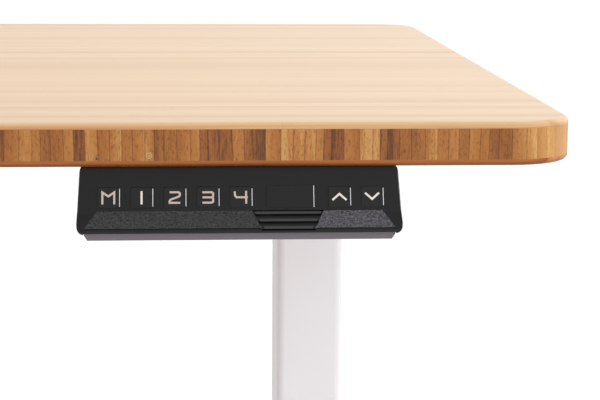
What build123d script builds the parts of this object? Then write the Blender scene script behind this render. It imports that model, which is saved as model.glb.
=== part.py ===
"""Two-leg electric standing desk: laminated bamboo top, steel frame, three-stage columns.

Frame: origin on the floor under the middle of the footprint, +X to the user's right,
+Y away from the user and +Z up, all in millimetres. The desk is drawn at a sitting
height, part of the way up its travel. Every part is built about the columns' middle and
written where it stands, a little further back to make room for the handset in front.
"""
import os
from math import cos, hypot, pi, sin

from build123d import *

# ---------------------------------------------------------------- desktop
TOP_WIDTH = 1524.0
TOP_DEPTH = 762.0
FACE_PLY = 3.75
CORE_PLY = 17.9
BACK_PLY = 3.75
TOP_CORNER_R = 38.0
TOP_EDGE_R = 3.4

# ---------------------------------------------------------------- heights
FLOOR_TO_FOOT = 14.0
FOOT_HEIGHT = 30.0
LOWEST_TOP = 620.0            # top surface above the floor with the columns shut
RAISED_NOW = 120.0            # how far above its lowest the desk is drawn
STAGE_RAISED = RAISED_NOW / 2  # the two moving stages share the rise equally
HEAD_HEIGHT = 42.0            # frame zone between the columns and the desktop

# ---------------------------------------------------------------- columns
LEG_INSET = 129.5             # from the desktop's end to each column's axis
TUBE_WALL = 1.5
OUTER_SIZE = (50.0, 80.0)     # across the desk, front to back
TUBE_STEP = 5.0               # each stage is this much smaller than the next one out
TUBE_CORNER_R = 6.0
SLIDE_GAP = 0.25              # running gap at every plastic glide
LIP_THICK = 4.0
BUSH_SLEEVE = 30.0
OUTER_CLEAR = 10.0            # outer mouth above the foot when shut
MIDDLE_CLEAR = 6.0
MIDDLE_LENGTH = 480.0
INNER_LENGTH = 450.0
HEAD_FLANGE = 12.0
HEAD_SPIGOT = 10.0
SPIGOT_GAP = 0.2

# ---------------------------------------------------------------- lifting screws
DRIVE_R = 6.0
RUNNING = 0.05                # radial running clearance of screws and shafts
HOLLOW_BORE_R = DRIVE_R + 0.5
HOLLOW_R = HOLLOW_BORE_R + 3.5
JOURNAL_R = HOLLOW_R + 1.0
JOURNAL_RISE = 1.0            # above the top of the middle tube
COLLAR_R = JOURNAL_R + 4.0
COLLAR_THICK = 5.0
SCREW_END_CLEAR = 6.0
SCREW_OVER_WHEEL = 4.0
NUT_FLANGE = 4.0
NUT_CLEAR = 1.0               # between the drive nut and the hollow screw's journal
DRIVE_NUT_R = JOURNAL_R
DRIVE_NUT_FLANGE_R = DRIVE_NUT_R + 5.0
INNER_NUT_R = HOLLOW_R + 4.0
INNER_NUT_FLANGE_R = INNER_NUT_R + 3.0
INNER_NUT_REACH = 2.0         # below the flange of the block it sits in

# ---------------------------------------------------------------- gearbox and motor
PLATE = 2.5
GEARBOX_X = (-28.0, 28.0)
GEARBOX_Y = (-24.0, 34.0)
GEARBOX_HEIGHT = 34.0
GEARBOX_CORNER_R = 4.0
POCKET_CLEAR = 1.0            # round and under the worm wheel, and round the worm
POCKET_OVER = 5.0             # above the worm wheel, for the screw's end
WORM_BORE_END = 6.0           # wall left at the far end of the worm's bore
WHEEL_R = 17.0
WHEEL_THICK = 12.0
WHEEL_TEETH = 16
TOOTH_DEPTH = 2.4
TOOTH_SPACE = 0.9             # width of a gap between teeth over half the pitch
WHEEL_FIT = 0.02              # radial gap of the wheel's seat on the screw
WORM_R = 4.4
WORM_HALF_LENGTH = 17.0
MESH_GAP = 0.3
ROTOR_SHAFT_R = 3.5
ROTOR_R = 15.0
ROTOR_INSET = (14.0, 20.0)    # from the motor's far end and from the gearbox
SHAFT_INSET = (3.0, 7.0)      # the same for the shaft, the second inside the gearbox
MOTOR_R = 21.0
MOTOR_LENGTH = 96.0
MOTOR_WALL = 2.5
MOTOR_FLANGE = (3.0, 20.0, 17.0)  # thickness, half width and half height
MOTOR_CAP = (16.0, 6.0)       # radius and length
SHAFT_SEAT = 4.0              # depth of the shaft's bearing hole in the motor's end

# ---------------------------------------------------------------- top frame
HEAD_HALF_X = 50.0
HEAD_HALF_Y = 67.0
RAIL_SIZE = (20.0, 40.0)      # front to back, height
RAIL_WALL = 1.5
RAIL_SLIDE_GAP = 0.2
RAIL_Y = 57.0
RAIL_INSET = 132.5            # from each column's axis to the crossbar's end
RAIL_BOLT_INSET = 20.0        # from the crossbar's end
INNER_RAIL_REACH = 250.0
BRACKET_LENGTH = 560.0
BRACKET_FLANGE = 36.0
BRACKET_END_HEIGHT = 12.0
BRACKET_TAPER = 160.0
BRACKET_CLEAR = 2.0           # between the web's low edge and the head plate's level
BRACKET_SCREW_INSET = 25.0
BRACKET_BOLT_Y = 30.0
WOOD_SCREW_R = 2.5
WOOD_SCREW_BITE = 15.0
BOLT_R = 3.0
BOLT_HEAD_R = 5.5
BOLT_HEAD = 4.0
BOLT_NUT = 5.0
BOLT_END = 1.0                # of thread showing past the nut
SCREW_HEAD = 3.0
SCREW_HEAD_CHAMFER = 0.8
HOLE_GAP = 0.2
PILOT_GAP = 0.05
PLATE_HOLE_CLEAR = 2.0        # round the drive screw and the motor, in the head plate

# ---------------------------------------------------------------- feet and floor glides
FOOT_LENGTH = 700.0
FOOT_WIDTH = 72.0
FOOT_WALL = 2.5
FOOT_END_HEIGHT = 18.0
FOOT_TAPER = 210.0
FOOT_CORNER_R = 10.0
FOOT_TOP_EDGE_R = 3.0
PLUG_THICK = 12.0
FOOT_BOLT_R = 4.0
FOOT_BOLT_HEAD_R = 6.5
FOOT_BOLT_HEAD = 5.0
FOOT_BOLT_AT = (11.0, 24.0)
LEVELLER_Y = 318.0
LEVELLER_PAD_R = 19.0
LEVELLER_PAD = 7.0
LEVELLER_PAD_EDGE = (2.5, 0.8)  # round above, chamfer below
LEVELLER_HEX_R = 8.0
LEVELLER_STUD_R = 4.0
LEVELLER_BOSS_R = 10.0
LEVELLER_GAP = 0.3
STUD_CLEAR = 2.0              # stud end below the boss's top
STUD_HOLE_CLEAR = 1.0

# ---------------------------------------------------------------- handset
HANDSET_INSET = 195.7         # from the desktop's end to the handset's middle
HANDSET_TOP_HALF = 90.5
HANDSET_LOW_HALF = 92.5
HANDSET_CORNER_R = 5.2
HANDSET_TOP_CORNER_R = 2.2
HANDSET_SET_BACK = 4.0        # top edge of the face behind the desktop's front face
HANDSET_REACH = 13.5          # lip in front of the desktop's front face
HANDSET_BACK = 46.0
HANDSET_CABLE_R = 2.5
HANDSET_CABLE_DOWN = 20.0
FACE_HEIGHT = 35.6
CHEEK_DROP = 1.1              # the end walls reach this far below the rest
FACE_SLOPE = (8.5, 22.6)      # forward and down: the slope of the key panel
PANEL_LENGTH = 26.3           # down the slope, from the top edge to the shelf
PANEL_SKIRT = 9.0             # the panel's wall carries on this far behind the shelf
PANEL_WALL = 2.4
SHELF_END = (13.0, 32.8)      # forward and down: where the shelf meets the lip
PAD_TOP_HALF = 81.3           # the raised pad on the shelf, widening downwards
PAD_LOW_HALF = 88.0
PAD_RAISED = 0.4
LIP_SLOPE = 1.4
LIP_CHAMFER = 1.2
SHELF_ROOT = 4.0              # how far the shelf's solid reaches behind the key panel
SHELL_WALL = 2.0
TRAY_DROP = 4.4
TRAY_SET_BACK = 3.0
TRAY_END_CHAMFER = (3.0, 2.0)  # up the end and along the bottom
RIM_GAP = 0.3
RIM_HEIGHT = 2.0
RIM_WALL = 2.0
KEY_PITCH = 18.75
KEY_SHIFT = 0.5               # the row of keys sits this far right of the housing's middle
KEY_SLOTS = 9
KEY_WELL = (12.8, 12.4)
KEY_GAP = 0.2
KEY_CENTRE = 18.1             # down the slope
KEY_RECESS = 0.3
KEY_CORNER_R = 1.2
KEY_FLANGE = 1.0
KEY_FLANGE_THICK = 0.8
KEY_STEM = 0.8
KEY_STEM_R = 2.0
KEY_TRAVEL = 0.6
KEY_END_GAP = 0.1             # left under the stem at the end of its travel
SWITCH_R = 3.0
DISPLAY_SLOT = 5.5
DISPLAY_SIZE = (27.0, 13.4)
DISPLAY_CENTRE = 17.8
DISPLAY_LEDGE = 1.5
DISPLAY_GAP = 0.15
WINDOW_THICK = 1.4
MODULE_GAP = (0.25, 0.4)      # round the display block and in front of it
BOARD_DEPTH = 5.6             # behind the key panel's outer face
BOARD_THICK = 1.6
BOARD_CENTRE = 17.5           # down the slope
BOARD_HEIGHT = 19.5
BOARD_INSET = 1.0
POST_R = 1.4
POST_INSET = 2.6
POST_DOWN = (9.0, 26.0)
POST_ROOT = 0.5               # how far a post reaches into the panel
RIB_COUNT = 3
RIB_SPACING = 5.0
RIB_WIDTH = 1.7
RIB_FIRST = 1.0
RECESS_DEPTH = 1.3
RECESS_TOP_HALF = 20.3
RECESS_LOW_HALF = 15.0
RECESS_SHIFT = -1.4           # from the display's middle
RECESS_ENDS = (0.6, 1.5)      # past the shelf's two edges
RECESS_OPEN = 6.0             # above the shelf
HANDSET_SCREW_R = 2.0
HANDSET_SCREW_AT = (70.0, 34.0)
TOWER_R = 6.5
TOWER_GAP = 0.1
TOWER_SEAT = 6.0              # screw head's seat below the desktop

# ---------------------------------------------------------------- control box
BOX_CENTRE = (-150.0, 190.0)
BOX_SIZE = (260.0, 116.0, 38.0)
BOX_WALL = 2.5
BOX_LID = 3.0
BOX_EAR = 14.0
BOX_EAR_ROOT = 8.0            # of the ear's length under the lid
BOX_CORNER_R = 6.0
BOX_EDGE_R = 3.0
SOCKET_WALL = 2.0
INLET_SIZE = (27.0, 20.0, 16.0)
PORT_SIZE = (14.0, 10.0, 9.0)
PORT_OFFSETS = (-80.0, -50.0, -20.0)
INLET_OFFSET = 70.0

# ---------------------------------------------------------------- derived places
LEG_X = TOP_WIDTH / 2 - LEG_INSET
RAIL_HALF_LENGTH = LEG_X - RAIL_INSET
RAIL_BOLT_X = RAIL_HALF_LENGTH - RAIL_BOLT_INSET
HANDSET_X = TOP_WIDTH / 2 - HANDSET_INSET
TOP_THICK = FACE_PLY + CORE_PLY + BACK_PLY
TOP_Z = LOWEST_TOP + RAISED_NOW
UNDER_Z = TOP_Z - TOP_THICK
FRONT_Y = -TOP_DEPTH / 2
HEAD_Z = UNDER_Z - HEAD_HEIGHT
FOOT_TOP = FLOOR_TO_FOOT + FOOT_HEIGHT
OUTER_BOTTOM = FOOT_TOP + OUTER_CLEAR + RAISED_NOW
MIDDLE_BOTTOM = FOOT_TOP + MIDDLE_CLEAR + STAGE_RAISED
MIDDLE_TOP = MIDDLE_BOTTOM + MIDDLE_LENGTH
INNER_TOP = FOOT_TOP + INNER_LENGTH
MIDDLE_SIZE = tuple(side - TUBE_STEP for side in OUTER_SIZE)
INNER_SIZE = tuple(side - 2 * TUBE_STEP for side in OUTER_SIZE)
GEARBOX_Z = HEAD_Z + PLATE
WHEEL_Z = GEARBOX_Z + GEARBOX_HEIGHT / 2
WORM_Y = WHEEL_R + WORM_R + MESH_GAP
DRIVE_BOTTOM = FOOT_TOP + PLUG_THICK + RAISED_NOW + SCREW_END_CLEAR
DRIVE_TOP = WHEEL_Z + WHEEL_THICK / 2 + SCREW_OVER_WHEEL
HOLLOW_BOTTOM = FOOT_TOP + PLUG_THICK + STAGE_RAISED + SCREW_END_CLEAR
SPIGOT_BOTTOM = MIDDLE_TOP - HEAD_SPIGOT
RAIL_Z = GEARBOX_Z + RAIL_SIZE[1] / 2 - RAIL_WALL - RAIL_SLIDE_GAP


# ================================================================ helpers
def block(x, y, z):
    """A box from three (low, high) pairs."""
    size = [high - low for low, high in (x, y, z)]
    centre = [(high + low) / 2 for low, high in (x, y, z)]
    return Pos(*centre) * Box(*size)


def rod(radius, z, x=0.0, y=0.0):
    """An upright cylinder between two heights."""
    return Pos(x, y, sum(z) / 2) * Cylinder(radius, z[1] - z[0])


def rod_x(radius, x, y, z):
    """A cylinder lying along X."""
    return Pos(sum(x) / 2, y, z) * Rot(0, 90, 0) * Cylinder(radius, x[1] - x[0])


def rod_y(radius, x, y, z):
    """A cylinder lying along Y."""
    return Pos(x, sum(y) / 2, z) * Rot(90, 0, 0) * Cylinder(radius, y[1] - y[0])


def rounded(size, corner_r, z):
    """An upright prism with rounded corners; size is across X and Y."""
    return Pos(0, 0, z[0]) * extrude(RectangleRounded(*size, corner_r), z[1] - z[0])


def tube(size, z, corner_r):
    """A rectangular tube with rounded corners."""
    inside = [side - 2 * TUBE_WALL for side in size]
    return rounded(size, corner_r, z) - rounded(inside, corner_r - TUBE_WALL, z)


def prism_x(points, x):
    """A side profile of (y, z) points, extruded along X between two places."""
    face = make_face(Polyline([(x[0], y, z) for y, z in points], close=True))
    return extrude(face, x[1] - x[0], dir=(1, 0, 0))


def mirrored(shape):
    """The same piece for the left side of the desk."""
    return mirror(shape, about=Plane.YZ)


def write(name, shape):
    """Writes one sub-part where it stands; a list becomes a group of separate solids."""
    pieces = shape if isinstance(shape, list) else [shape]
    placed = [Pos(0, HANDSET_REACH / 2, 0) * piece.solid() for piece in pieces]
    export_step(Compound(placed) if len(placed) > 1 else placed[0], f"parts/{name}.step")


def write_pair(name, right):
    """Writes a column part for the right leg and its mirror image for the left."""
    right = Pos(LEG_X, 0, 0) * right
    write(f"{name}_right", right)
    write(f"{name}_left", mirrored(right))


# ================================================================ desktop
def screw_places():
    """Where wood screws enter the desktop: (x, y, shank radius)."""
    reach = BRACKET_LENGTH / 2 - BRACKET_SCREW_INSET
    places = [(side * (LEG_X + HEAD_HALF_X + PLATE + BRACKET_FLANGE / 2), y, WOOD_SCREW_R)
              for side in (-1, 1) for y in (-reach, 0, reach)]
    places += [(x, y, WOOD_SCREW_R) for x, y in box_ear_places()]
    places += [(HANDSET_X + side * HANDSET_SCREW_AT[0], FRONT_Y + HANDSET_SCREW_AT[1],
                HANDSET_SCREW_R) for side in (-1, 1)]
    return places


def ply(z, rounded_edge=None):
    """One layer of the desktop, with its outer edge rounded at the top or bottom."""
    board = rounded((TOP_WIDTH, TOP_DEPTH), TOP_CORNER_R, z)
    if rounded_edge is not None:
        rim = board.faces().sort_by(Axis.Z)[rounded_edge].edges()
        board = fillet(rim, TOP_EDGE_R)
    for x, y, radius in screw_places():
        board -= rod(radius + PILOT_GAP, (UNDER_Z - 1, UNDER_Z + WOOD_SCREW_BITE + 1), x, y)
    return board


def desktop():
    core_z = (UNDER_Z + BACK_PLY, TOP_Z - FACE_PLY)
    write("desktop_face_ply", ply((core_z[1], TOP_Z), -1))
    write("desktop_core", ply(core_z))
    write("desktop_back_ply", ply((UNDER_Z, core_z[0]), 0))


# ================================================================ columns
def bush(outside, slider, z):
    """A plastic bush in a tube's mouth: a lip under the tube and a thin sleeve inside it."""
    inside = [side - 2 * TUBE_WALL for side in outside]
    hole = [side + 2 * SLIDE_GAP for side in slider]
    lip = rounded(outside, TUBE_CORNER_R, (z - LIP_THICK, z))
    sleeve = rounded(inside, TUBE_CORNER_R - TUBE_WALL, (z, z + BUSH_SLEEVE))
    bore = rounded(hole, TUBE_CORNER_R - TUBE_WALL, (z - LIP_THICK, z + BUSH_SLEEVE))
    return lip + sleeve - bore


def tube_head(tube_size, guide_size, z, bore_r):
    """A slider block on top of a tube: a flange guided by the next tube, and a spigot."""
    flange_size = [side - 2 * TUBE_WALL - 2 * SLIDE_GAP for side in guide_size]
    spigot_size = [side - 2 * TUBE_WALL - 2 * SPIGOT_GAP for side in tube_size]
    corner = TUBE_CORNER_R - TUBE_WALL
    head = rounded(flange_size, corner, (z, z + HEAD_FLANGE))
    head += rounded(spigot_size, corner, (z - HEAD_SPIGOT, z))
    return head - rod(bore_r, (z - HEAD_SPIGOT, z + HEAD_FLANGE))


def nut(body_r, flange_r, bore_r, z, body_length):
    """A flanged nut that sits on z, its body reaching down into the slider block."""
    shape = rod(flange_r, (z, z + NUT_FLANGE)) + rod(body_r, (z - body_length, z))
    return shape - rod(bore_r, (z - body_length, z + NUT_FLANGE))


def base_tube():
    """The innermost tube, welded shut at the bottom by a tapped plug that stands on the foot."""
    inside = [side - 2 * TUBE_WALL for side in INNER_SIZE]
    shape = tube(INNER_SIZE, (FOOT_TOP, INNER_TOP), TUBE_CORNER_R)
    shape += rounded(inside, TUBE_CORNER_R - TUBE_WALL, (FOOT_TOP, FOOT_TOP + PLUG_THICK))
    for x, y in foot_bolt_places():
        shape -= rod(FOOT_BOLT_R + PILOT_GAP, (FOOT_TOP, FOOT_TOP + PLUG_THICK), x, y)
    return shape


def columns():
    write_pair("outer_tube", tube(OUTER_SIZE, (OUTER_BOTTOM, HEAD_Z), TUBE_CORNER_R))
    write_pair("middle_tube", tube(MIDDLE_SIZE, (MIDDLE_BOTTOM, MIDDLE_TOP), TUBE_CORNER_R))
    write_pair("inner_tube", base_tube())

    outer_bush = Pos(LEG_X, 0, 0) * bush(OUTER_SIZE, MIDDLE_SIZE, OUTER_BOTTOM)
    write("outer_tube_bushes", [outer_bush, mirrored(outer_bush)])
    write_pair("middle_tube_bush", bush(MIDDLE_SIZE, INNER_SIZE, MIDDLE_BOTTOM))

    head_bore = JOURNAL_R + RUNNING
    write_pair("middle_tube_head", tube_head(MIDDLE_SIZE, OUTER_SIZE, MIDDLE_TOP, head_bore))
    inner_head = Pos(LEG_X, 0, 0) * tube_head(INNER_SIZE, MIDDLE_SIZE, INNER_TOP,
                                              INNER_NUT_R + RUNNING)
    write("inner_tube_heads", [inner_head, mirrored(inner_head)])


def lifting_screws():
    """A solid drive screw turns in the middle tube's nut, and a hollow one in the inner tube's."""
    write_pair("drive_screw", rod(DRIVE_R, (DRIVE_BOTTOM, DRIVE_TOP)))

    nut_seat = MIDDLE_TOP + HEAD_FLANGE
    write_pair("drive_nut", nut(DRIVE_NUT_R, DRIVE_NUT_FLANGE_R, DRIVE_R + RUNNING,
                                nut_seat, HEAD_FLANGE - JOURNAL_RISE - NUT_CLEAR))
    inner_nut = Pos(LEG_X, 0, 0) * nut(INNER_NUT_R, INNER_NUT_FLANGE_R, HOLLOW_R + RUNNING,
                                       INNER_TOP + HEAD_FLANGE,
                                       HEAD_FLANGE + INNER_NUT_REACH)
    write("inner_nuts", [inner_nut, mirrored(inner_nut)])

    collar_top = SPIGOT_BOTTOM - SPIGOT_GAP
    hollow = rod(HOLLOW_R, (HOLLOW_BOTTOM, collar_top))
    hollow += rod(COLLAR_R, (collar_top - COLLAR_THICK, collar_top))
    hollow += rod(JOURNAL_R, (collar_top, MIDDLE_TOP + JOURNAL_RISE))
    hollow -= rod(HOLLOW_BORE_R, (HOLLOW_BOTTOM, MIDDLE_TOP + JOURNAL_RISE))
    write_pair("hollow_screw", hollow)


# ================================================================ gearbox and motor
def worm_wheel():
    """The wheel on top of the drive screw, with straight teeth round its rim."""
    z = (WHEEL_Z - WHEEL_THICK / 2, WHEEL_Z + WHEEL_THICK / 2)
    wheel = rod(WHEEL_R, z)
    gap_width = pi * WHEEL_R / WHEEL_TEETH * TOOTH_SPACE
    for tooth in range(WHEEL_TEETH):
        slot = block((WHEEL_R - TOOTH_DEPTH, WHEEL_R + 1), (-gap_width / 2, gap_width / 2), z)
        wheel -= Rot(0, 0, 360 * tooth / WHEEL_TEETH) * slot
    return wheel - rod(DRIVE_R + WHEEL_FIT, z)


def gearbox():
    """A housing with a pocket for the wheel, a bore for the worm and a bearing for the screw."""
    top = GEARBOX_Z + GEARBOX_HEIGHT
    body = block(GEARBOX_X, GEARBOX_Y, (GEARBOX_Z, top))
    body = fillet(body.edges().filter_by(Axis.Z), GEARBOX_CORNER_R)
    pocket_z = (WHEEL_Z - WHEEL_THICK / 2 - POCKET_CLEAR, WHEEL_Z + WHEEL_THICK / 2 + POCKET_OVER)
    body -= rod(WHEEL_R + POCKET_CLEAR, pocket_z)
    body -= rod(DRIVE_R + RUNNING, (GEARBOX_Z, WHEEL_Z))
    body -= rod_x(WORM_R + POCKET_CLEAR, (GEARBOX_X[0], GEARBOX_X[1] - WORM_BORE_END),
                  WORM_Y, WHEEL_Z)
    return body


def motor():
    """The motor's can with its end cap and flange; the rotor runs inside it."""
    start = GEARBOX_X[0]
    end = start - MOTOR_LENGTH
    thick, half_width, half_height = MOTOR_FLANGE
    cap_r, cap_length = MOTOR_CAP
    can_end = start - thick
    flange = block((can_end, start), (WORM_Y - half_width, WORM_Y + half_width),
                   (WHEEL_Z - half_height, WHEEL_Z + half_height))
    can = rod_x(MOTOR_R, (end, can_end), WORM_Y, WHEEL_Z)
    cap = rod_x(cap_r, (end - cap_length, end), WORM_Y, WHEEL_Z)
    hollow = rod_x(MOTOR_R - MOTOR_WALL, (end + MOTOR_WALL, can_end - MOTOR_WALL),
                   WORM_Y, WHEEL_Z)
    shaft_hole = rod_x(ROTOR_SHAFT_R + RUNNING, (end - SHAFT_SEAT, start), WORM_Y, WHEEL_Z)
    return flange + can + cap - hollow - shaft_hole


def motor_rotor():
    """Rotor, shaft and worm in one turning piece."""
    end = GEARBOX_X[0] - MOTOR_LENGTH
    rotor = rod_x(ROTOR_R, (end + ROTOR_INSET[0], GEARBOX_X[0] - ROTOR_INSET[1]),
                  WORM_Y, WHEEL_Z)
    rotor += rod_x(ROTOR_SHAFT_R, (end - SHAFT_INSET[0], GEARBOX_X[1] - SHAFT_INSET[1]),
                   WORM_Y, WHEEL_Z)
    return rotor + rod_x(WORM_R, (-WORM_HALF_LENGTH, WORM_HALF_LENGTH), WORM_Y, WHEEL_Z)


def drives():
    write_pair("worm_wheel", worm_wheel())
    write_pair("gearbox", gearbox())
    write_pair("motor", motor())
    write_pair("motor_rotor", motor_rotor())


# ================================================================ top frame
def inner_rail_size():
    return tuple(side - 2 * RAIL_WALL - 2 * RAIL_SLIDE_GAP for side in RAIL_SIZE)


def rail(size, x, y):
    """A rectangular tube along X with its middle at the rails' height."""
    depth, height = size
    outside = block(x, (y - depth / 2, y + depth / 2), (RAIL_Z - height / 2, RAIL_Z + height / 2))
    inner = [side / 2 - RAIL_WALL for side in size]
    return outside - block(x, (y - inner[0], y + inner[0]), (RAIL_Z - inner[1], RAIL_Z + inner[1]))


def leg_head():
    """Plate and end wall over the column, with the two rails that slide into the crossbars."""
    head = block((-HEAD_HALF_X, HEAD_HALF_X), (-HEAD_HALF_Y, HEAD_HALF_Y),
                 (HEAD_Z, HEAD_Z + PLATE))
    head += block((HEAD_HALF_X - PLATE, HEAD_HALF_X), (-HEAD_HALF_Y, HEAD_HALF_Y),
                  (HEAD_Z, UNDER_Z))
    for side in (-1, 1):
        reach = (-HEAD_HALF_X - INNER_RAIL_REACH, HEAD_HALF_X - PLATE)
        head += rail(inner_rail_size(), reach, side * RAIL_Y)
    head -= rod(DRIVE_R + PLATE_HOLE_CLEAR, (HEAD_Z, HEAD_Z + PLATE))
    notch = MOTOR_R + PLATE_HOLE_CLEAR / 2
    head -= block((-HEAD_HALF_X, GEARBOX_X[0]), (WORM_Y - notch, WORM_Y + notch),
                  (HEAD_Z, HEAD_Z + PLATE))
    for y, z in bracket_bolt_places():
        head -= rod_x(BOLT_R + HOLE_GAP, (HEAD_HALF_X - PLATE, HEAD_HALF_X), y, z)
    return head


def bracket_bolt_places():
    """Bolts through the head's end wall and the side bracket, as (y, z)."""
    return [(y, HEAD_Z + HEAD_HEIGHT / 2) for y in (-BRACKET_BOLT_Y, BRACKET_BOLT_Y)]


def side_bracket():
    """An angle under the desktop's end: a tapered web on the head and a flange for wood screws."""
    half, web = BRACKET_LENGTH / 2, HEAD_HEIGHT - BRACKET_CLEAR
    outline = [(-half, 0), (half, 0), (half, -BRACKET_END_HEIGHT), (half - BRACKET_TAPER, -web),
               (BRACKET_TAPER - half, -web), (-half, -BRACKET_END_HEIGHT)]
    outline = [(y, UNDER_Z + drop) for y, drop in outline]
    bracket = prism_x(outline, (HEAD_HALF_X, HEAD_HALF_X + PLATE))
    bracket += block((HEAD_HALF_X, HEAD_HALF_X + PLATE + BRACKET_FLANGE), (-half, half),
                     (UNDER_Z - PLATE, UNDER_Z))
    for x, y, _ in screw_places()[3:6]:
        bracket -= rod(WOOD_SCREW_R + HOLE_GAP, (UNDER_Z - PLATE, UNDER_Z), x - LEG_X, y)
    for y, z in bracket_bolt_places():
        bracket -= rod_x(BOLT_R + HOLE_GAP, (HEAD_HALF_X, HEAD_HALF_X + PLATE), y, z)
    return bracket


def bracket_bolts():
    """Bolts along X with a nut behind the head's wall."""
    inner, outer = HEAD_HALF_X - PLATE, HEAD_HALF_X + PLATE
    bolts = []
    for y, z in bracket_bolt_places():
        shank = rod_x(BOLT_R, (inner - BOLT_NUT - BOLT_END, outer), y, z)
        head = rod_x(BOLT_HEAD_R, (outer, outer + BOLT_HEAD), y, z)
        grip = rod_x(BOLT_HEAD_R, (inner - BOLT_NUT, inner), y, z)
        bolts.append(Pos(LEG_X, 0, 0) * (shank + head + grip))
    return bolts + [mirrored(bolt) for bolt in bolts]


def rail_bolts():
    """Set bolts under the crossbars, which clamp the sliding rails."""
    low = RAIL_Z - RAIL_SIZE[1] / 2
    clamp = RAIL_Z - inner_rail_size()[1] / 2
    return [rod(BOLT_R, (low, clamp), x, y) + rod(BOLT_HEAD_R, (low - BOLT_HEAD, low), x, y)
            for x in (-RAIL_BOLT_X, RAIL_BOLT_X) for y in (-RAIL_Y, RAIL_Y)]


def crossbar(y):
    """One of the two outer rails between the legs."""
    bar = rail(RAIL_SIZE, (-RAIL_HALF_LENGTH, RAIL_HALF_LENGTH), y)
    low = RAIL_Z - RAIL_SIZE[1] / 2
    for x in (-RAIL_BOLT_X, RAIL_BOLT_X):
        bar -= rod(BOLT_R + HOLE_GAP, (low, low + RAIL_WALL), x, y)
    return bar


def wood_screw(x, y, seat, radius):
    """A pan-head screw driven up into the desktop; seat is the height of its head's top."""
    shank = rod(radius, (seat, UNDER_Z + WOOD_SCREW_BITE), x, y)
    head = rod(radius * 2, (seat - SCREW_HEAD, seat), x, y)
    return shank + chamfer(head.edges().group_by(Axis.Z)[0], SCREW_HEAD_CHAMFER)


def top_frame():
    write_pair("leg_head", leg_head())
    write_pair("side_bracket", side_bracket())
    write("crossbar_front", crossbar(-RAIL_Y))
    write("crossbar_back", crossbar(RAIL_Y))
    write("frame_bolts", bracket_bolts() + rail_bolts())
    seats = [UNDER_Z - PLATE] * 6 + [UNDER_Z - BOX_LID] * 4
    write("desktop_screws", [wood_screw(x, y, seat, radius)
                             for (x, y, radius), seat in zip(screw_places(), seats)])


# ================================================================ feet
def foot_bolt_places():
    """The four bolts that hold a column on its foot, about the column's axis."""
    x, y = FOOT_BOLT_AT
    return [(sx * x, sy * y) for sx in (-1, 1) for sy in (-1, 1)]


def foot_outline(inset):
    """Side view of the foot, tapered towards both ends."""
    half = FOOT_LENGTH / 2 - inset
    flat = FOOT_LENGTH / 2 - FOOT_TAPER
    top, end = FOOT_TOP - inset, FLOOR_TO_FOOT + FOOT_END_HEIGHT - inset
    low = FLOOR_TO_FOOT
    return [(-half, low), (half, low), (half, end), (flat, top), (-flat, top), (-half, end)]


def foot():
    """A pressed steel foot, open underneath, with tapped bosses for its levellers."""
    half = FOOT_WIDTH / 2
    shell = prism_x(foot_outline(0), (-half, half))
    shell = fillet(shell.edges().filter_by(Axis.Z), FOOT_CORNER_R)
    shell = fillet(shell.faces().sort_by(Axis.Z)[-1].edges().filter_by(Axis.Y), FOOT_TOP_EDGE_R)
    shell -= prism_x(foot_outline(FOOT_WALL), (-half + FOOT_WALL, half - FOOT_WALL))
    boss_top = FLOOR_TO_FOOT + FOOT_END_HEIGHT
    for y in (-LEVELLER_Y, LEVELLER_Y):
        shell += rod(LEVELLER_BOSS_R, (FLOOR_TO_FOOT, boss_top), 0, y)
        shell -= rod(LEVELLER_STUD_R + RUNNING, (0, boss_top - STUD_HOLE_CLEAR), 0, y)
    for x, y in foot_bolt_places():
        shell -= rod(FOOT_BOLT_R + HOLE_GAP, (FOOT_TOP - FOOT_WALL, FOOT_TOP), x, y)
    return shell


def leveller(y):
    """A screw-in glide: pad on the floor, hex and stud."""
    pad = rod(LEVELLER_PAD_R, (0, LEVELLER_PAD), 0, y)
    pad = fillet(pad.edges().group_by(Axis.Z)[-1], LEVELLER_PAD_EDGE[0])
    pad = chamfer(pad.edges().group_by(Axis.Z)[0], LEVELLER_PAD_EDGE[1])
    hex_top = FLOOR_TO_FOOT - LEVELLER_GAP
    hexagon = extrude(RegularPolygon(LEVELLER_HEX_R, 6), hex_top - LEVELLER_PAD)
    stud_top = FLOOR_TO_FOOT + FOOT_END_HEIGHT - STUD_CLEAR
    stud = rod(LEVELLER_STUD_R, (hex_top, stud_top), 0, y)
    return pad + Pos(0, y, LEVELLER_PAD) * hexagon + stud


def feet():
    write_pair("foot", foot())
    write_pair("leveller_front", leveller(-LEVELLER_Y))
    write_pair("leveller_back", leveller(LEVELLER_Y))
    seat = FOOT_TOP - FOOT_WALL
    bolts = [rod(FOOT_BOLT_R, (seat, FOOT_TOP + PLUG_THICK - STUD_CLEAR), side * LEG_X + x, y)
             + rod(FOOT_BOLT_HEAD_R, (seat - FOOT_BOLT_HEAD, seat), side * LEG_X + x, y)
             for side in (-1, 1) for x, y in foot_bolt_places()]
    write("foot_bolts", bolts)


# ================================================================ handset
SLOPE_LENGTH = hypot(*FACE_SLOPE)
DOWN = (0, -FACE_SLOPE[0] / SLOPE_LENGTH, -FACE_SLOPE[1] / SLOPE_LENGTH)
OUT = (0, -FACE_SLOPE[1] / SLOPE_LENGTH, FACE_SLOPE[0] / SLOPE_LENGTH)
PANEL = Plane(origin=(0, HANDSET_SET_BACK, 0), x_dir=(1, 0, 0), z_dir=OUT)
KEYS = {"key_memory": 0, "key_1": 1, "key_2": 2, "key_3": 3, "key_4": 4, "key_up": 7,
        "key_down": 8}


def on_panel(down, out=0.0):
    """The (y, z) of a point this far down the key panel and this far out from it."""
    return (HANDSET_SET_BACK + down * DOWN[1] + out * OUT[1], down * DOWN[2] + out * OUT[2])


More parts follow.
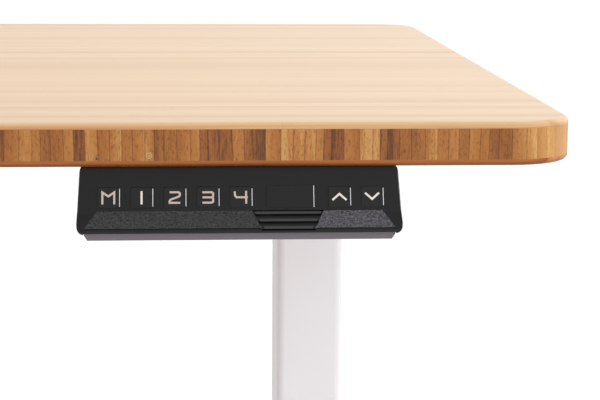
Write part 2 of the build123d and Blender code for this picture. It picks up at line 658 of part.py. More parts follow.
def panel_block(x, down, size, out, corner_r=0.0):
    """A block square to the key panel, between two distances out from it."""
    outline = RectangleRounded(*size, corner_r) if corner_r else Rectangle(*size)
    place = PANEL * Pos(x, -down, out[0])
    return place * extrude(outline, out[1] - out[0])


def panel_rod(x, down, radius, out):
    return PANEL * Pos(x, -down, sum(out) / 2) * Cylinder(radius, out[1] - out[0])


def key_x(slot):
    return (slot - (KEY_SLOTS - 1) / 2) * KEY_PITCH + KEY_SHIFT


def front_outline(y):
    """The handset seen from the front: a little wider below, with round lower corners."""
    top, low, height = HANDSET_TOP_HALF, HANDSET_LOW_HALF, FACE_HEIGHT + CHEEK_DROP
    points = [(-top, 0), (top, 0), (low, -height), (-low, -height)]
    face = make_face(Polyline([(x, y[1], z) for x, z in points], close=True))
    shape = extrude(face, y[1] - y[0], dir=(0, -1, 0))
    shape = fillet(shape.edges().filter_by(Axis.Y).group_by(Axis.Z)[0], HANDSET_CORNER_R)
    return fillet(shape.edges().filter_by(Axis.Y).group_by(Axis.Z)[-1], HANDSET_TOP_CORNER_R)


def shelf_plane():
    """The slope of the palm shelf: a plane at the middle of its upper edge, and its length."""
    top = on_panel(PANEL_LENGTH)
    along = Vector(0, -SHELF_END[0] - top[0], -SHELF_END[1] - top[1])
    down = along.normalized()
    plane = Plane(origin=(0, *top), x_dir=(1, 0, 0), z_dir=(0, down.Z, -down.Y))
    return plane, along.length


def shelf():
    """The palm shelf under the keys: a full-width wedge and the raised pad on its slope."""
    plane, length = shelf_plane()
    sunk = [plane.origin + plane.y_dir * down - plane.z_dir * PAD_RAISED for down in (0, -length)]
    bottom = -FACE_HEIGHT - CHEEK_DROP
    profile = [(point.Y, point.Z) for point in sunk]
    profile += [(-HANDSET_REACH, -SHELF_END[1] - LIP_SLOPE), (-HANDSET_REACH, bottom + LIP_CHAMFER),
                (-HANDSET_REACH + LIP_CHAMFER, bottom), (HANDSET_SET_BACK, bottom),
                on_panel(0, -SHELF_ROOT)]
    wedge = prism_x(profile, (-HANDSET_LOW_HALF, HANDSET_LOW_HALF))
    corners = [(-PAD_TOP_HALF, 0), (PAD_TOP_HALF, 0), (PAD_LOW_HALF, -length),
               (-PAD_LOW_HALF, -length)]
    pad = plane * Pos(0, 0, -2 * PAD_RAISED) * extrude(make_face(Polyline(corners, close=True)),
                                                       2 * PAD_RAISED)
    return wedge + pad


def rib_recess():
    """The ribbed pocket under the display, narrower at the bottom."""
    plane, length = shelf_plane()
    place = plane * Pos(key_x(DISPLAY_SLOT) + RECESS_SHIFT, 0, 0)
    start, stop = RECESS_ENDS[0], -length - RECESS_ENDS[1]
    corners = [(-RECESS_TOP_HALF, start), (RECESS_TOP_HALF, start), (RECESS_LOW_HALF, stop),
               (-RECESS_LOW_HALF, stop)]
    outline = make_face(Polyline(corners, close=True))
    pocket = place * Pos(0, 0, -RECESS_DEPTH) * extrude(outline, RECESS_DEPTH + RECESS_OPEN)
    rows = [-RIB_FIRST - row * RIB_SPACING for row in range(RIB_COUNT)]
    bars = [place * Pos(0, row, -RECESS_DEPTH / 2)
            * Box(2 * RECESS_TOP_HALF, RIB_WIDTH, RECESS_DEPTH) for row in rows]
    return pocket, [bar & pocket for bar in bars]


def handset_face():
    """The upper housing: key panel, shelf, top, back and side walls, open underneath."""
    low, bottom = on_panel(PANEL_LENGTH + PANEL_SKIRT), -FACE_HEIGHT - CHEEK_DROP
    body_profile = [on_panel(0), low, (low[0], bottom), (HANDSET_BACK, bottom), (HANDSET_BACK, 0)]
    body = prism_x(body_profile, (-HANDSET_LOW_HALF, HANDSET_LOW_HALF)) + shelf()
    body &= front_outline((-HANDSET_REACH - 1, HANDSET_BACK))
    pocket, ribs = rib_recess()
    body -= pocket
    for rib in ribs:
        body += rib

    inner_half = HANDSET_TOP_HALF - SHELL_WALL
    start = on_panel(SHELL_WALL / -DOWN[2], -PANEL_WALL)
    end = on_panel(PANEL_LENGTH + PANEL_SKIRT, -PANEL_WALL)
    back = HANDSET_BACK - SHELL_WALL
    cavity = [(start[0], -SHELL_WALL), end, (end[0], bottom), (back, bottom), (back, -SHELL_WALL)]
    body -= prism_x(cavity, (-inner_half, inner_half))
    body -= block((-inner_half, inner_half), (-HANDSET_REACH, HANDSET_BACK), (bottom, -FACE_HEIGHT))

    for slot in KEYS.values():
        body -= panel_block(key_x(slot), KEY_CENTRE, KEY_WELL, (-PANEL_WALL - 1, 1), KEY_CORNER_R)
    aperture = [side - 2 * DISPLAY_LEDGE for side in DISPLAY_SIZE]
    body -= panel_block(key_x(DISPLAY_SLOT), DISPLAY_CENTRE, aperture, (-PANEL_WALL - 1, 1))
    body -= panel_block(key_x(DISPLAY_SLOT), DISPLAY_CENTRE, DISPLAY_SIZE, (-DISPLAY_LEDGE, 1))

    for x, down in board_post_places():
        body += panel_rod(x, down, POST_R, (-BOARD_DEPTH, -PANEL_WALL + POST_ROOT))
    for side in (-1, 1):
        body -= rod(HANDSET_SCREW_R + HOLE_GAP, (-SHELL_WALL, 0), side * HANDSET_SCREW_AT[0],
                    HANDSET_SCREW_AT[1])
    return body - rod_y(HANDSET_CABLE_R, 0, (HANDSET_BACK - SHELL_WALL, HANDSET_BACK),
                        -HANDSET_CABLE_DOWN)


def board_post_places():
    """The posts that carry the circuit board behind the key panel, as (x, down the panel)."""
    x = HANDSET_TOP_HALF - SHELL_WALL - POST_INSET
    return [(side * x, down) for side in (-1, 1) for down in POST_DOWN]


def handset_base():
    """The tray that closes the handset underneath, with two screw towers."""
    z = (-FACE_HEIGHT - TRAY_DROP, -FACE_HEIGHT)
    front, back = -HANDSET_REACH + TRAY_SET_BACK, HANDSET_BACK
    half = HANDSET_TOP_HALF - SHELL_WALL - RIM_GAP
    tray = block((-half, half), (front, back), z)
    lower_ends = tray.edges().filter_by(Axis.Y).group_by(Axis.Z)[0]
    tray = chamfer(lower_ends, *TRAY_END_CHAMFER)
    rim_y = (on_panel(PANEL_LENGTH + PANEL_SKIRT, -PANEL_WALL)[0] + RIM_GAP,
             HANDSET_BACK - SHELL_WALL - RIM_GAP)
    rim_z = (-FACE_HEIGHT, -FACE_HEIGHT + RIM_HEIGHT)
    tray += block((-half, half), rim_y, rim_z) - block(
        (-half + RIM_WALL, half - RIM_WALL), (rim_y[0] + RIM_WALL, rim_y[1] - RIM_WALL), rim_z)
    for side in (-1, 1):
        x, y = side * HANDSET_SCREW_AT[0], HANDSET_SCREW_AT[1]
        tray += rod(TOWER_R, (-FACE_HEIGHT, -SHELL_WALL - TOWER_GAP), x, y)
        tray -= rod(HANDSET_SCREW_R * 2 + HOLE_GAP, (z[0], -TOWER_SEAT), x, y)
        tray -= rod(HANDSET_SCREW_R + HOLE_GAP, (-TOWER_SEAT, 0), x, y)
    return tray


def key(slot):
    """One key cap with the flange that keeps it in its well and the stem that presses."""
    cap = [side - 2 * KEY_GAP for side in KEY_WELL]
    flange = [side + 2 * KEY_FLANGE for side in KEY_WELL]
    rear = -PANEL_WALL - RUNNING
    shape = panel_block(key_x(slot), KEY_CENTRE, cap, (rear, -KEY_RECESS), KEY_CORNER_R - KEY_GAP)
    shape += panel_block(key_x(slot), KEY_CENTRE, flange, (rear - KEY_FLANGE_THICK, rear))
    return shape + panel_rod(key_x(slot), KEY_CENTRE, KEY_STEM_R,
                             (rear - KEY_FLANGE_THICK - KEY_STEM, rear - KEY_FLANGE_THICK))


def circuit_board():
    """The board behind the keys, with a dome switch under each stem."""
    width = 2 * (HANDSET_TOP_HALF - SHELL_WALL - BOARD_INSET)
    board = panel_block(0, BOARD_CENTRE, (width, BOARD_HEIGHT),
                        (-BOARD_DEPTH - BOARD_THICK, -BOARD_DEPTH))
    key_end = PANEL_WALL + RUNNING + KEY_FLANGE_THICK + KEY_STEM
    switch = (-BOARD_DEPTH, -key_end - KEY_TRAVEL - KEY_END_GAP)
    for slot in KEYS.values():
        board += panel_rod(key_x(slot), KEY_CENTRE, SWITCH_R, switch)
    return board


def display_module():
    size = [side - 2 * DISPLAY_LEDGE - 2 * MODULE_GAP[0] for side in DISPLAY_SIZE]
    return panel_block(key_x(DISPLAY_SLOT), DISPLAY_CENTRE, size,
                       (-BOARD_DEPTH, -DISPLAY_LEDGE - MODULE_GAP[1]))


def display_window():
    size = [side - 2 * DISPLAY_GAP for side in DISPLAY_SIZE]
    return panel_block(key_x(DISPLAY_SLOT), DISPLAY_CENTRE, size,
                       (-DISPLAY_LEDGE, WINDOW_THICK - DISPLAY_LEDGE))


def handset():
    place = Pos(HANDSET_X, FRONT_Y, UNDER_Z)
    write("handset_face", place * handset_face())
    write("handset_base", place * handset_base())
    write("handset_board", place * circuit_board())
    write("display_module", place * display_module())
    write("display_window", place * display_window())
    for name, slot in KEYS.items():
        write(name, place * key(slot))
    write("handset_screws", [wood_screw(x, y, UNDER_Z - TOWER_SEAT, radius)
                             for x, y, radius in screw_places()[-2:]])


# ================================================================ control box
def box_ear_places():
    x, y = BOX_CENTRE
    reach_x = BOX_SIZE[0] / 2 + BOX_EAR / 2
    reach_y = BOX_SIZE[1] / 2 - BOX_EAR / 2
    return [(x + sx * reach_x, y + sy * reach_y) for sx in (-1, 1) for sy in (-1, 1)]


def control_box_lid():
    """The plate against the desktop, with an ear for each wood screw."""
    (x, y), (w, d, _) = BOX_CENTRE, BOX_SIZE
    z = (UNDER_Z - BOX_LID, UNDER_Z)
    lid = Pos(x, y, 0) * rounded((w, d), BOX_CORNER_R, z)
    for ear_x, ear_y in box_ear_places():
        lid += Pos(ear_x, ear_y, 0) * rounded((BOX_EAR + BOX_EAR_ROOT, BOX_EAR), BOX_CORNER_R, z)
        lid -= rod(WOOD_SCREW_R + HOLE_GAP, z, ear_x, ear_y)
    return lid


def control_box_case():
    """The case under the lid, with a mains inlet and three ports in its back wall."""
    (x, y), (w, d, h) = BOX_CENTRE, BOX_SIZE
    z = (UNDER_Z - h, UNDER_Z - BOX_LID)
    case = Pos(x, y, 0) * rounded((w, d), BOX_CORNER_R, z)
    case = fillet(case.faces().sort_by(Axis.Z)[0].edges(), BOX_EDGE_R)
    case -= block((x - w / 2 + BOX_WALL, x + w / 2 - BOX_WALL),
                  (y - d / 2 + BOX_WALL, y + d / 2 - BOX_WALL), (z[0] + BOX_WALL, z[1]))
    middle, wall_y = sum(z) / 2, y + d / 2
    sockets = [(INLET_OFFSET, INLET_SIZE)] + [(offset, PORT_SIZE) for offset in PORT_OFFSETS]
    for offset, (width, height, depth) in sockets:
        span, rise = (x + offset - width / 2, x + offset + width / 2), height / 2
        case += block((span[0] - SOCKET_WALL, span[1] + SOCKET_WALL),
                      (wall_y - depth - SOCKET_WALL, wall_y - BOX_WALL / 2),
                      (middle - rise - SOCKET_WALL, middle + rise + SOCKET_WALL))
        case -= block(span, (wall_y - depth, wall_y), (middle - rise, middle + rise))
    return case


def control_box():
    write("control_box_lid", control_box_lid())
    write("control_box_case", control_box_case())


def main():
    os.makedirs("parts", exist_ok=True)
    desktop()
    columns()
    lifting_screws()
    drives()
    top_frame()
    feet()
    handset()
    control_box()


main()
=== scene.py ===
# %% [markdown]
# # A height adjustable standing desk
#
# This notebook gives a finished CAD desk its looks. The CAD model is a fixed frame: every
# piece of it keeps its shape and place and gets a material, and what is too fine for CAD,
# such as the legends on the keys, is built here as surfaces worked out with numpy.
# Everything is in metres, with the floor at Z = 0 and the user on the -Y side.

# %% Load the frame
import math

import bpy
import numpy as np
from mathutils import Matrix, Vector


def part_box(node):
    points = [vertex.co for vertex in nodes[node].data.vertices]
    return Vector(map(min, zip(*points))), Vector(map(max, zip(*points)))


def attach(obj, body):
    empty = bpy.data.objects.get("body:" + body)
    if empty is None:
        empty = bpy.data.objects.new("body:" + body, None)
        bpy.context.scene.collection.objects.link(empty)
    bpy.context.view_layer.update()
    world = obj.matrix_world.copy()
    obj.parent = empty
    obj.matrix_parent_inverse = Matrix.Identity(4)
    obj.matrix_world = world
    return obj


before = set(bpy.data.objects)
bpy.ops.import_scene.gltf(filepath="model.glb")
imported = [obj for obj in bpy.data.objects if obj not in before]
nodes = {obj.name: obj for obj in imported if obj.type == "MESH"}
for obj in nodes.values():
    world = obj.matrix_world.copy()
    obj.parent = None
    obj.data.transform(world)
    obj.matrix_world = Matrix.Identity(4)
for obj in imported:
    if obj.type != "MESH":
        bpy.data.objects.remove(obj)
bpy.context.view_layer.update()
MM = 0.001

# %% [markdown]
# ## Helpers for colours and nodes
#
# A colour is written as the sRGB hex value that a paint chart or a colour picker gives.
# Blender mixes light in linear values, so one function turns hex to linear. A second
# function adds any shader node: its settings, then its inputs, each a plain value or a
# link from another node's output. A colour ramp's stops are settings too.

# %% Colours and nodes


def linear(hex_colour):
    """sRGB hex to linear RGBA: v / 12.92 below 0.04045, else ((v + 0.055) / 1.055) ** 2.4."""
    values = np.array([int(hex_colour[i:i + 2], 16) for i in (0, 2, 4)]) / 255
    straight = np.where(values <= 0.04045, values / 12.92, ((values + 0.055) / 1.055) ** 2.4)
    return (*[float(v) for v in straight], 1.0)


def add(tree, kind, settings=None, inputs=None, stops=()):
    """Adds one node; inputs map a socket's name or number to a value or to an output."""
    node = tree.nodes.new(kind)
    for name, value in (settings or {}).items():
        setattr(node, name, value)
    for name, value in (inputs or {}).items():
        if isinstance(value, bpy.types.NodeSocket):
            tree.links.new(value, node.inputs[name])
        else:
            node.inputs[name].default_value = value
    if stops:
        ramp = node.color_ramp
        while len(ramp.elements) < len(stops):
            ramp.elements.new(0.5)
        for element, (position, hex_colour) in zip(ramp.elements, stops):
            element.position = position
            element.color = linear(hex_colour)
    return node


def start_material(name, hex_colour, roughness, **sockets):
    """A new material with its Principled shader's plain values set; returns both and the tree."""
    material = bpy.data.materials.new(name)
    material.use_nodes = True
    tree = material.node_tree
    shader = tree.nodes["Principled BSDF"]
    shader.inputs["Base Color"].default_value = linear(hex_colour)
    shader.inputs["Roughness"].default_value = roughness
    for socket, value in sockets.items():
        socket_name = socket.replace("_", " ").title().replace("Ior", "IOR")
        shader.inputs[socket_name].default_value = value
    return material, tree, shader


def dress(material, *names):
    """Gives a material to CAD nodes, by name or by the start of their names."""
    found = [n for n in nodes if any(n == name or n.startswith(name + "_") for name in names)]
    for node_name in found:
        nodes[node_name].data.materials.clear()
        nodes[node_name].data.materials.append(material)
    return found


print("mid grey in linear values:", round(linear("808080")[0], 3))

# %% [markdown]
# ## Bamboo: the face of the desktop
#
# The top face is natural bamboo: strips about 18 mm wide, glued side by side along the
# desk, sanded and given a satin lacquer. Each strip differs a little in tone, carries long
# straight fibres, and every 260 mm or so shows the faint band of a knuckle. An image would
# repeat itself over 1.5 m, so the pattern is worked out: a one-dimensional Voronoi along Y
# numbers the strips, and noise stretched along X draws the fibres. Just above the glue line
# the face's edge is a deeper gold, in fine level streaks.

# %% Bamboo face
FACE_STRIP = 18.0             # mm, the width of a strip
KNUCKLE_STEP = 260.0          # mm from one knuckle of a strip to the next
KNUCKLE_DEPTH = 0.1           # how strongly a knuckle tints the strip
SEAM_STAIN = 3.0              # mm above the glue line that is a little darker
FACE_FIBRES = (2.2, 170, 170)  # cells of noise per metre, along X, Y and Z
SEAM_STREAKS = (5, 20, 700)   # the same for the streaks of the stain


def bamboo_face():
    """Fibres and strip tones through a colour ramp, times the knuckles, times the stain."""
    material, tree, shader = start_material("bamboo_natural_satin_lacquer", "D0A873", 0.3,
                                            specular_ior_level=0.62)
    place = add(tree, "ShaderNodeTexCoord").outputs["Object"]
    axes = add(tree, "ShaderNodeSeparateXYZ", None, {0: place}).outputs
    strip = add(tree, "ShaderNodeTexVoronoi", {"voronoi_dimensions": "1D"},
                {"W": axes["Y"], "Scale": 1 / (FACE_STRIP * MM), "Randomness": 0.25})
    tone = add(tree, "ShaderNodeSeparateColor", None, {0: strip.outputs["Color"]}).outputs
    long_way = add(tree, "ShaderNodeMapping", None, {"Vector": place, "Scale": FACE_FIBRES})
    fibre = add(tree, "ShaderNodeTexNoise", None,
                {"Vector": long_way.outputs[0], "Scale": 1, "Detail": 5, "Roughness": 0.62})
    knuckle_place = add(tree, "ShaderNodeMath", {"operation": "MULTIPLY_ADD"},
                        {0: axes["X"], 1: 1 / (KNUCKLE_STEP * MM), 2: tone["Green"]})
    knuckle_phase = add(tree, "ShaderNodeMath", {"operation": "FRACT"},
                        {0: knuckle_place.outputs[0]})
    knuckle = add(tree, "ShaderNodeMapRange", {"interpolation_type": "SMOOTHSTEP"},
                  {0: knuckle_phase.outputs[0], 1: 0.0, 2: 0.035, 3: 1.0, 4: 0.0})
    level = add(tree, "ShaderNodeMix", {"data_type": "FLOAT"},
                {"Factor": 0.3, "A": fibre.outputs["Fac"], "B": tone["Red"]})
    colour = add(tree, "ShaderNodeValToRGB", None, {0: level.outputs["Result"]},
                 [(0.2, "BE8D51"), (0.45, "CEA570"), (0.6, "D2AA78"), (0.85, "DAB98D")])
    soft = add(tree, "ShaderNodeMath", {"operation": "MULTIPLY"},
               {0: knuckle.outputs[0], 1: KNUCKLE_DEPTH})
    banded = add(tree, "ShaderNodeMix", {"data_type": "RGBA", "blend_type": "MULTIPLY"},
                 {"Factor": soft.outputs[0], "A": colour.outputs[0], "B": linear("D9B58C")})
    low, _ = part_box("desktop_face_ply")
    seam = add(tree, "ShaderNodeMapRange", {"interpolation_type": "SMOOTHSTEP"},
               {0: axes["Z"], 1: low[2], 2: low[2] + SEAM_STAIN * MM, 3: 0.85, 4: 0.0})
    fine_way = add(tree, "ShaderNodeMapping", None, {"Vector": place, "Scale": SEAM_STREAKS})
    streak = add(tree, "ShaderNodeTexNoise", None,
                 {"Vector": fine_way.outputs[0], "Scale": 1, "Detail": 2})
    streaked = add(tree, "ShaderNodeMapRange", None,
                   {0: streak.outputs["Fac"], 1: 0.36, 2: 0.64, 3: 0.0, 4: 1.1})
    stain = add(tree, "ShaderNodeMath", {"operation": "MULTIPLY"},
                {0: seam.outputs[0], 1: streaked.outputs[0]})
    edged = add(tree, "ShaderNodeMix", {"data_type": "RGBA", "blend_type": "MULTIPLY"},
                {"Factor": stain.outputs[0], "A": banded.outputs["Result"],
                 "B": linear("CE9848")})
    tree.links.new(edged.outputs["Result"], shader.inputs["Base Color"])
    bump = add(tree, "ShaderNodeBump", None,
               {"Height": fibre.outputs["Fac"], "Strength": 0.12, "Distance": 0.05 * MM})
    tree.links.new(bump.outputs[0], shader.inputs["Normal"])
    return material


print("face:", dress(bamboo_face(), "desktop_face_ply"))

# %% [markdown]
# ## Bamboo: the core of crosswise strips
#
# The core's strips stand on edge and run from front to back, so the front edge of the desk
# shows their ends as upright bars 3 to 10 mm wide, from golden straw to carbonised brown. The
# bars are again a one-dimensional Voronoi, this time along X and quite irregular. Its
# distance to the nearest joint draws the thin dark glue lines, and two stretched noises give
# the bundles of fibres and their dark pores. Round the corners the strips are cut aslant and
# turn paler, at the two ends of the desk they show their long sides, and a few knots break
# the pattern.

# %% Bamboo core
STRIP_WIDTH = 6.4             # mm, on average
STRIP_DRIFT = 2.4             # mm, by which the side of a strip may wander
PATTERN_START = 0.37          # m, where in the endless row of strips this desk begins
KNOT_WOBBLE = 1.6             # mm, how far from round a knot may be
DRIFT_CELLS = 24              # cells of noise per metre, for the wandering sides
CORE_FIBRES = (900, 60, 60)   # the same along X, Y and Z, for the fibres at the front,
CORE_PORES = (1100, 400, 400)  # the pores there
SIDE_FIBRES = (9, 9, 700)     # and the level fibres at the desk's two ends
# each knot: mm along the desk, mm above the core's underside, radius in mm, ring colours
EYE = [(0.0, "86592E"), (0.3, "BE9258"), (0.55, "9C6C38"), (0.75, "C49A62"), (0.95, "5E3A1E")]
SPECK = [(0.0, "2A1A10"), (0.6, "3A2414"), (1.0, "6A4424")]
KNOTS = [(515.0, 3.0, 2.5, EYE), (485.5, 1.2, 0.8, SPECK), (-318.0, 11.0, 2.1, EYE),
         (-96.0, 6.5, 0.9, SPECK)]


def bamboo_core():
    """Strips by number, each with its own tone and lean, then pores, glue lines and knots."""
    material, tree, shader = start_material("bamboo_core_strips_on_end", "A66B38", 0.5,
                                            specular_ior_level=0.3)
    place = add(tree, "ShaderNodeTexCoord").outputs["Object"]
    drift = add(tree, "ShaderNodeTexNoise", None,
                {"Vector": place, "Scale": DRIFT_CELLS, "Detail": 1})
    shift = add(tree, "ShaderNodeMath", {"operation": "MULTIPLY_ADD"},
                {0: drift.outputs["Fac"], 1: STRIP_DRIFT * MM, 2: PATTERN_START})
    axes = add(tree, "ShaderNodeSeparateXYZ", None, {0: place}).outputs
    across = add(tree, "ShaderNodeMath", None, {0: axes["X"], 1: shift.outputs[0]})
    along = {"W": across.outputs[0], "Scale": 1 / (STRIP_WIDTH * MM), "Randomness": 0.9}
    strip = add(tree, "ShaderNodeTexVoronoi", {"voronoi_dimensions": "1D"}, along)
    joint = add(tree, "ShaderNodeTexVoronoi",
                {"voronoi_dimensions": "1D", "feature": "DISTANCE_TO_EDGE"}, along)
    tone = add(tree, "ShaderNodeSeparateColor", None, {0: strip.outputs["Color"]}).outputs
    # one side of a strip, the outside of the culm, is denser and darker than the other
    inside = add(tree, "ShaderNodeMath", {"operation": "SUBTRACT"},
                 {0: across.outputs[0], 1: strip.outputs["W"]})
    lean = add(tree, "ShaderNodeMapRange", None, {0: tone["Green"], 3: -60.0, 4: 60.0})
    upright = add(tree, "ShaderNodeMapping", None, {"Vector": place, "Scale": CORE_FIBRES})
    fibre = add(tree, "ShaderNodeTexNoise", None,
                {"Vector": upright.outputs[0], "Scale": 1, "Detail": 4, "Roughness": 0.65})
    level = add(tree, "ShaderNodeMath", {"operation": "MULTIPLY_ADD"},
                {0: inside.outputs[0], 1: lean.outputs[0], 2: tone["Red"]})
    level = add(tree, "ShaderNodeMath", {"operation": "MULTIPLY_ADD"},
                {0: fibre.outputs["Fac"], 1: 0.9, 2: level.outputs[0]})
    level = add(tree, "ShaderNodeMath", {"operation": "SUBTRACT"}, {0: level.outputs[0], 1: 0.45})
    colour = add(tree, "ShaderNodeValToRGB", None, {0: level.outputs[0]},
                 [(0.0, "633716"), (0.1, "80491C"), (0.3, "935923"), (0.55, "9F642A"),
                  (0.8, "AA7136"), (1.0, "BC8A50")])
    mottle = add(tree, "ShaderNodeMapping", None, {"Vector": place, "Scale": CORE_PORES})
    pores = add(tree, "ShaderNodeTexNoise", None,
                {"Vector": mottle.outputs[0], "Scale": 1, "Detail": 2, "Roughness": 0.6})
    speck = add(tree, "ShaderNodeMapRange", None,
                {0: pores.outputs["Fac"], 1: 0.3, 2: 0.48, 3: 0.5, 4: 0.0})
    specked = add(tree, "ShaderNodeMix", {"data_type": "RGBA", "blend_type": "MULTIPLY"},
                  {"Factor": speck.outputs[0], "A": colour.outputs[0], "B": linear("9C7048")})
    glue = add(tree, "ShaderNodeMapRange", None,
               {0: joint.outputs["Distance"], 1: 0.0, 2: 0.07, 3: 0.6, 4: 0.0})
    lined = add(tree, "ShaderNodeMix", {"data_type": "RGBA", "blend_type": "MULTIPLY"},
                {"Factor": glue.outputs[0], "A": specked.outputs["Result"],
                 "B": linear("8A5A34")})
    # round the corner the strips are cut aslant, which shows paler fibres
    facing = add(tree, "ShaderNodeSeparateXYZ", None,
                 {0: add(tree, "ShaderNodeNewGeometry").outputs["Normal"]}).outputs["X"]
    sideways = add(tree, "ShaderNodeMath", {"operation": "ABSOLUTE"}, {0: facing})
    aslant = add(tree, "ShaderNodeMapRange", None,
                 {0: sideways.outputs[0], 1: 0.05, 2: 0.85, 4: 0.55})
    paler = add(tree, "ShaderNodeMix", {"data_type": "RGBA"},
                {"Factor": aslant.outputs[0], "A": lined.outputs["Result"],
                 "B": linear("DDAE6E")})
    # at the desk's two ends a strip shows its long side: straw, with level fibres
    turned = add(tree, "ShaderNodeMapRange", {"interpolation_type": "SMOOTHSTEP"},
                 {0: sideways.outputs[0], 1: 0.93, 2: 0.99})
    level_way = add(tree, "ShaderNodeMapping", None, {"Vector": place, "Scale": SIDE_FIBRES})
    long_fibre = add(tree, "ShaderNodeTexNoise", None,
                     {"Vector": level_way.outputs[0], "Scale": 1, "Detail": 4})
    side_colour = add(tree, "ShaderNodeValToRGB", None, {0: long_fibre.outputs["Fac"]},
                      [(0.3, "BC884E"), (0.5, "D09C60"), (0.7, "DEB07A")])
    whole = add(tree, "ShaderNodeMix", {"data_type": "RGBA"},
                {"Factor": turned.outputs[0], "A": paler.outputs["Result"],
                 "B": side_colour.outputs[0]}).outputs["Result"]
    # knots: rings of colour by distance from a point, flattened front to back
    level_place = add(tree, "ShaderNodeVectorMath", {"operation": "MULTIPLY"},
                      {0: place, 1: (1, 0, 1)}).outputs[0]
    low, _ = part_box("desktop_core")
    for knot_x, knot_up, radius, stops in KNOTS:
        away = add(tree, "ShaderNodeVectorMath", {"operation": "DISTANCE"},
                   {0: level_place, 1: (knot_x * MM, 0, low[2] + knot_up * MM)})
        wobble = add(tree, "ShaderNodeMath", {"operation": "MULTIPLY_ADD"},
                     {0: pores.outputs["Fac"], 1: KNOT_WOBBLE * MM,
                      2: away.outputs["Value"]})
        ring = add(tree, "ShaderNodeMath", {"operation": "DIVIDE"},
                   {0: wobble.outputs[0], 1: (radius + KNOT_WOBBLE / 2) * MM})
        rings = add(tree, "ShaderNodeValToRGB", None, {0: ring.outputs[0]}, stops)
        inside_knot = add(tree, "ShaderNodeMapRange", None,
                          {0: ring.outputs[0], 1: 0.85, 2: 1.0, 3: 0.9, 4: 0.0})
        whole = add(tree, "ShaderNodeMix", {"data_type": "RGBA"},
                    {"Factor": inside_knot.outputs[0], "A": whole,
                     "B": rings.outputs[0]}).outputs["Result"]
    tree.links.new(whole, shader.inputs["Base Color"])
    bump = add(tree, "ShaderNodeBump", None,
               {"Height": fibre.outputs["Fac"], "Strength": 0.25, "Distance": 0.08 * MM})
    tree.links.new(bump.outputs[0], shader.inputs["Normal"])
    return material


print("core:", dress(bamboo_core(), "desktop_core"))

# %% [markdown]
# ## Bamboo: the back of the desktop
#
# The underside is a carbonised ply: steaming turns the sugar in bamboo to caramel. It is the
# same kind of pattern as the face, simpler because it is mostly seen as a thin line, which
# is darker towards the bottom.

# %% Bamboo back
BACK_STRIP = 20.0             # mm, the width of a strip
BACK_EVEN = 0.6               # mm at the top and the bottom over which the tone stays even
BACK_FIBRES = (5, 190, 190)   # cells of noise per metre, along X, Y and Z


def bamboo_back():
    """Fibres and strip tones through a colour ramp, times a tone that falls with height."""
    material, tree, shader = start_material("bamboo_carbonised_satin_lacquer", "AD692E", 0.45,
                                            specular_ior_level=0.3)
    place = add(tree, "ShaderNodeTexCoord").outputs["Object"]
    long_way = add(tree, "ShaderNodeMapping", None, {"Vector": place, "Scale": BACK_FIBRES})
    fibre = add(tree, "ShaderNodeTexNoise", None,
                {"Vector": long_way.outputs[0], "Scale": 1, "Detail": 5, "Roughness": 0.6})
    axes = add(tree, "ShaderNodeSeparateXYZ", None, {0: place}).outputs
    strip = add(tree, "ShaderNodeTexVoronoi", {"voronoi_dimensions": "1D"},
                {"W": axes["Y"], "Scale": 1 / (BACK_STRIP * MM), "Randomness": 0.2})
    tone = add(tree, "ShaderNodeSeparateColor", None, {0: strip.outputs["Color"]}).outputs
    level = add(tree, "ShaderNodeMix", {"data_type": "FLOAT"},
                {"Factor": 0.35, "A": fibre.outputs["Fac"], "B": tone["Red"]})
    colour = add(tree, "ShaderNodeValToRGB", None, {0: level.outputs["Result"]},
                 [(0.2, "7E4519"), (0.5, "A96428"), (0.8, "C48A48")])
    low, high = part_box("desktop_back_ply")
    # darker towards the bottom: a multiply that is strongest at the underside and gone at the top
    darker_towards_bottom = add(tree, "ShaderNodeMapRange", {"interpolation_type": "SMOOTHSTEP"},
               {0: axes["Z"], 1: low[2] + BACK_EVEN * MM, 2: high[2] - BACK_EVEN * MM,
                3: 0.7, 4: 0.0})
    edged = add(tree, "ShaderNodeMix", {"data_type": "RGBA", "blend_type": "MULTIPLY"},
                {"Factor": darker_towards_bottom.outputs[0], "A": colour.outputs[0], "B": linear("B4957E")})
    tree.links.new(edged.outputs["Result"], shader.inputs["Base Color"])
    bump = add(tree, "ShaderNodeBump", None,
               {"Height": fibre.outputs["Fac"], "Strength": 0.15, "Distance": 0.05 * MM})
    tree.links.new(bump.outputs[0], shader.inputs["Normal"])
    return material


print("back:", dress(bamboo_back(), "desktop_back_ply"))

# %% [markdown]
# ## Powder coat, moulded plastics and metals
#
# Most other pieces have one colour and differ in how their surface was made. Powder coat
# melts into a skin with a faint orange peel, a ripple about a millimetre across. Black ABS
# comes out of a spark-eroded mould with a fine grit. Steel is drawn, zinc plated or blackened
# with oxide, and the gearbox is die-cast aluminium. One function makes them all: a colour, a
# gentle cloud of tone so that no area is quite flat, and a bump whose grain is a real size.

# %% Plain finishes
CLOUDS = 9                    # cells of noise per metre, so a cloud is about 110 mm across


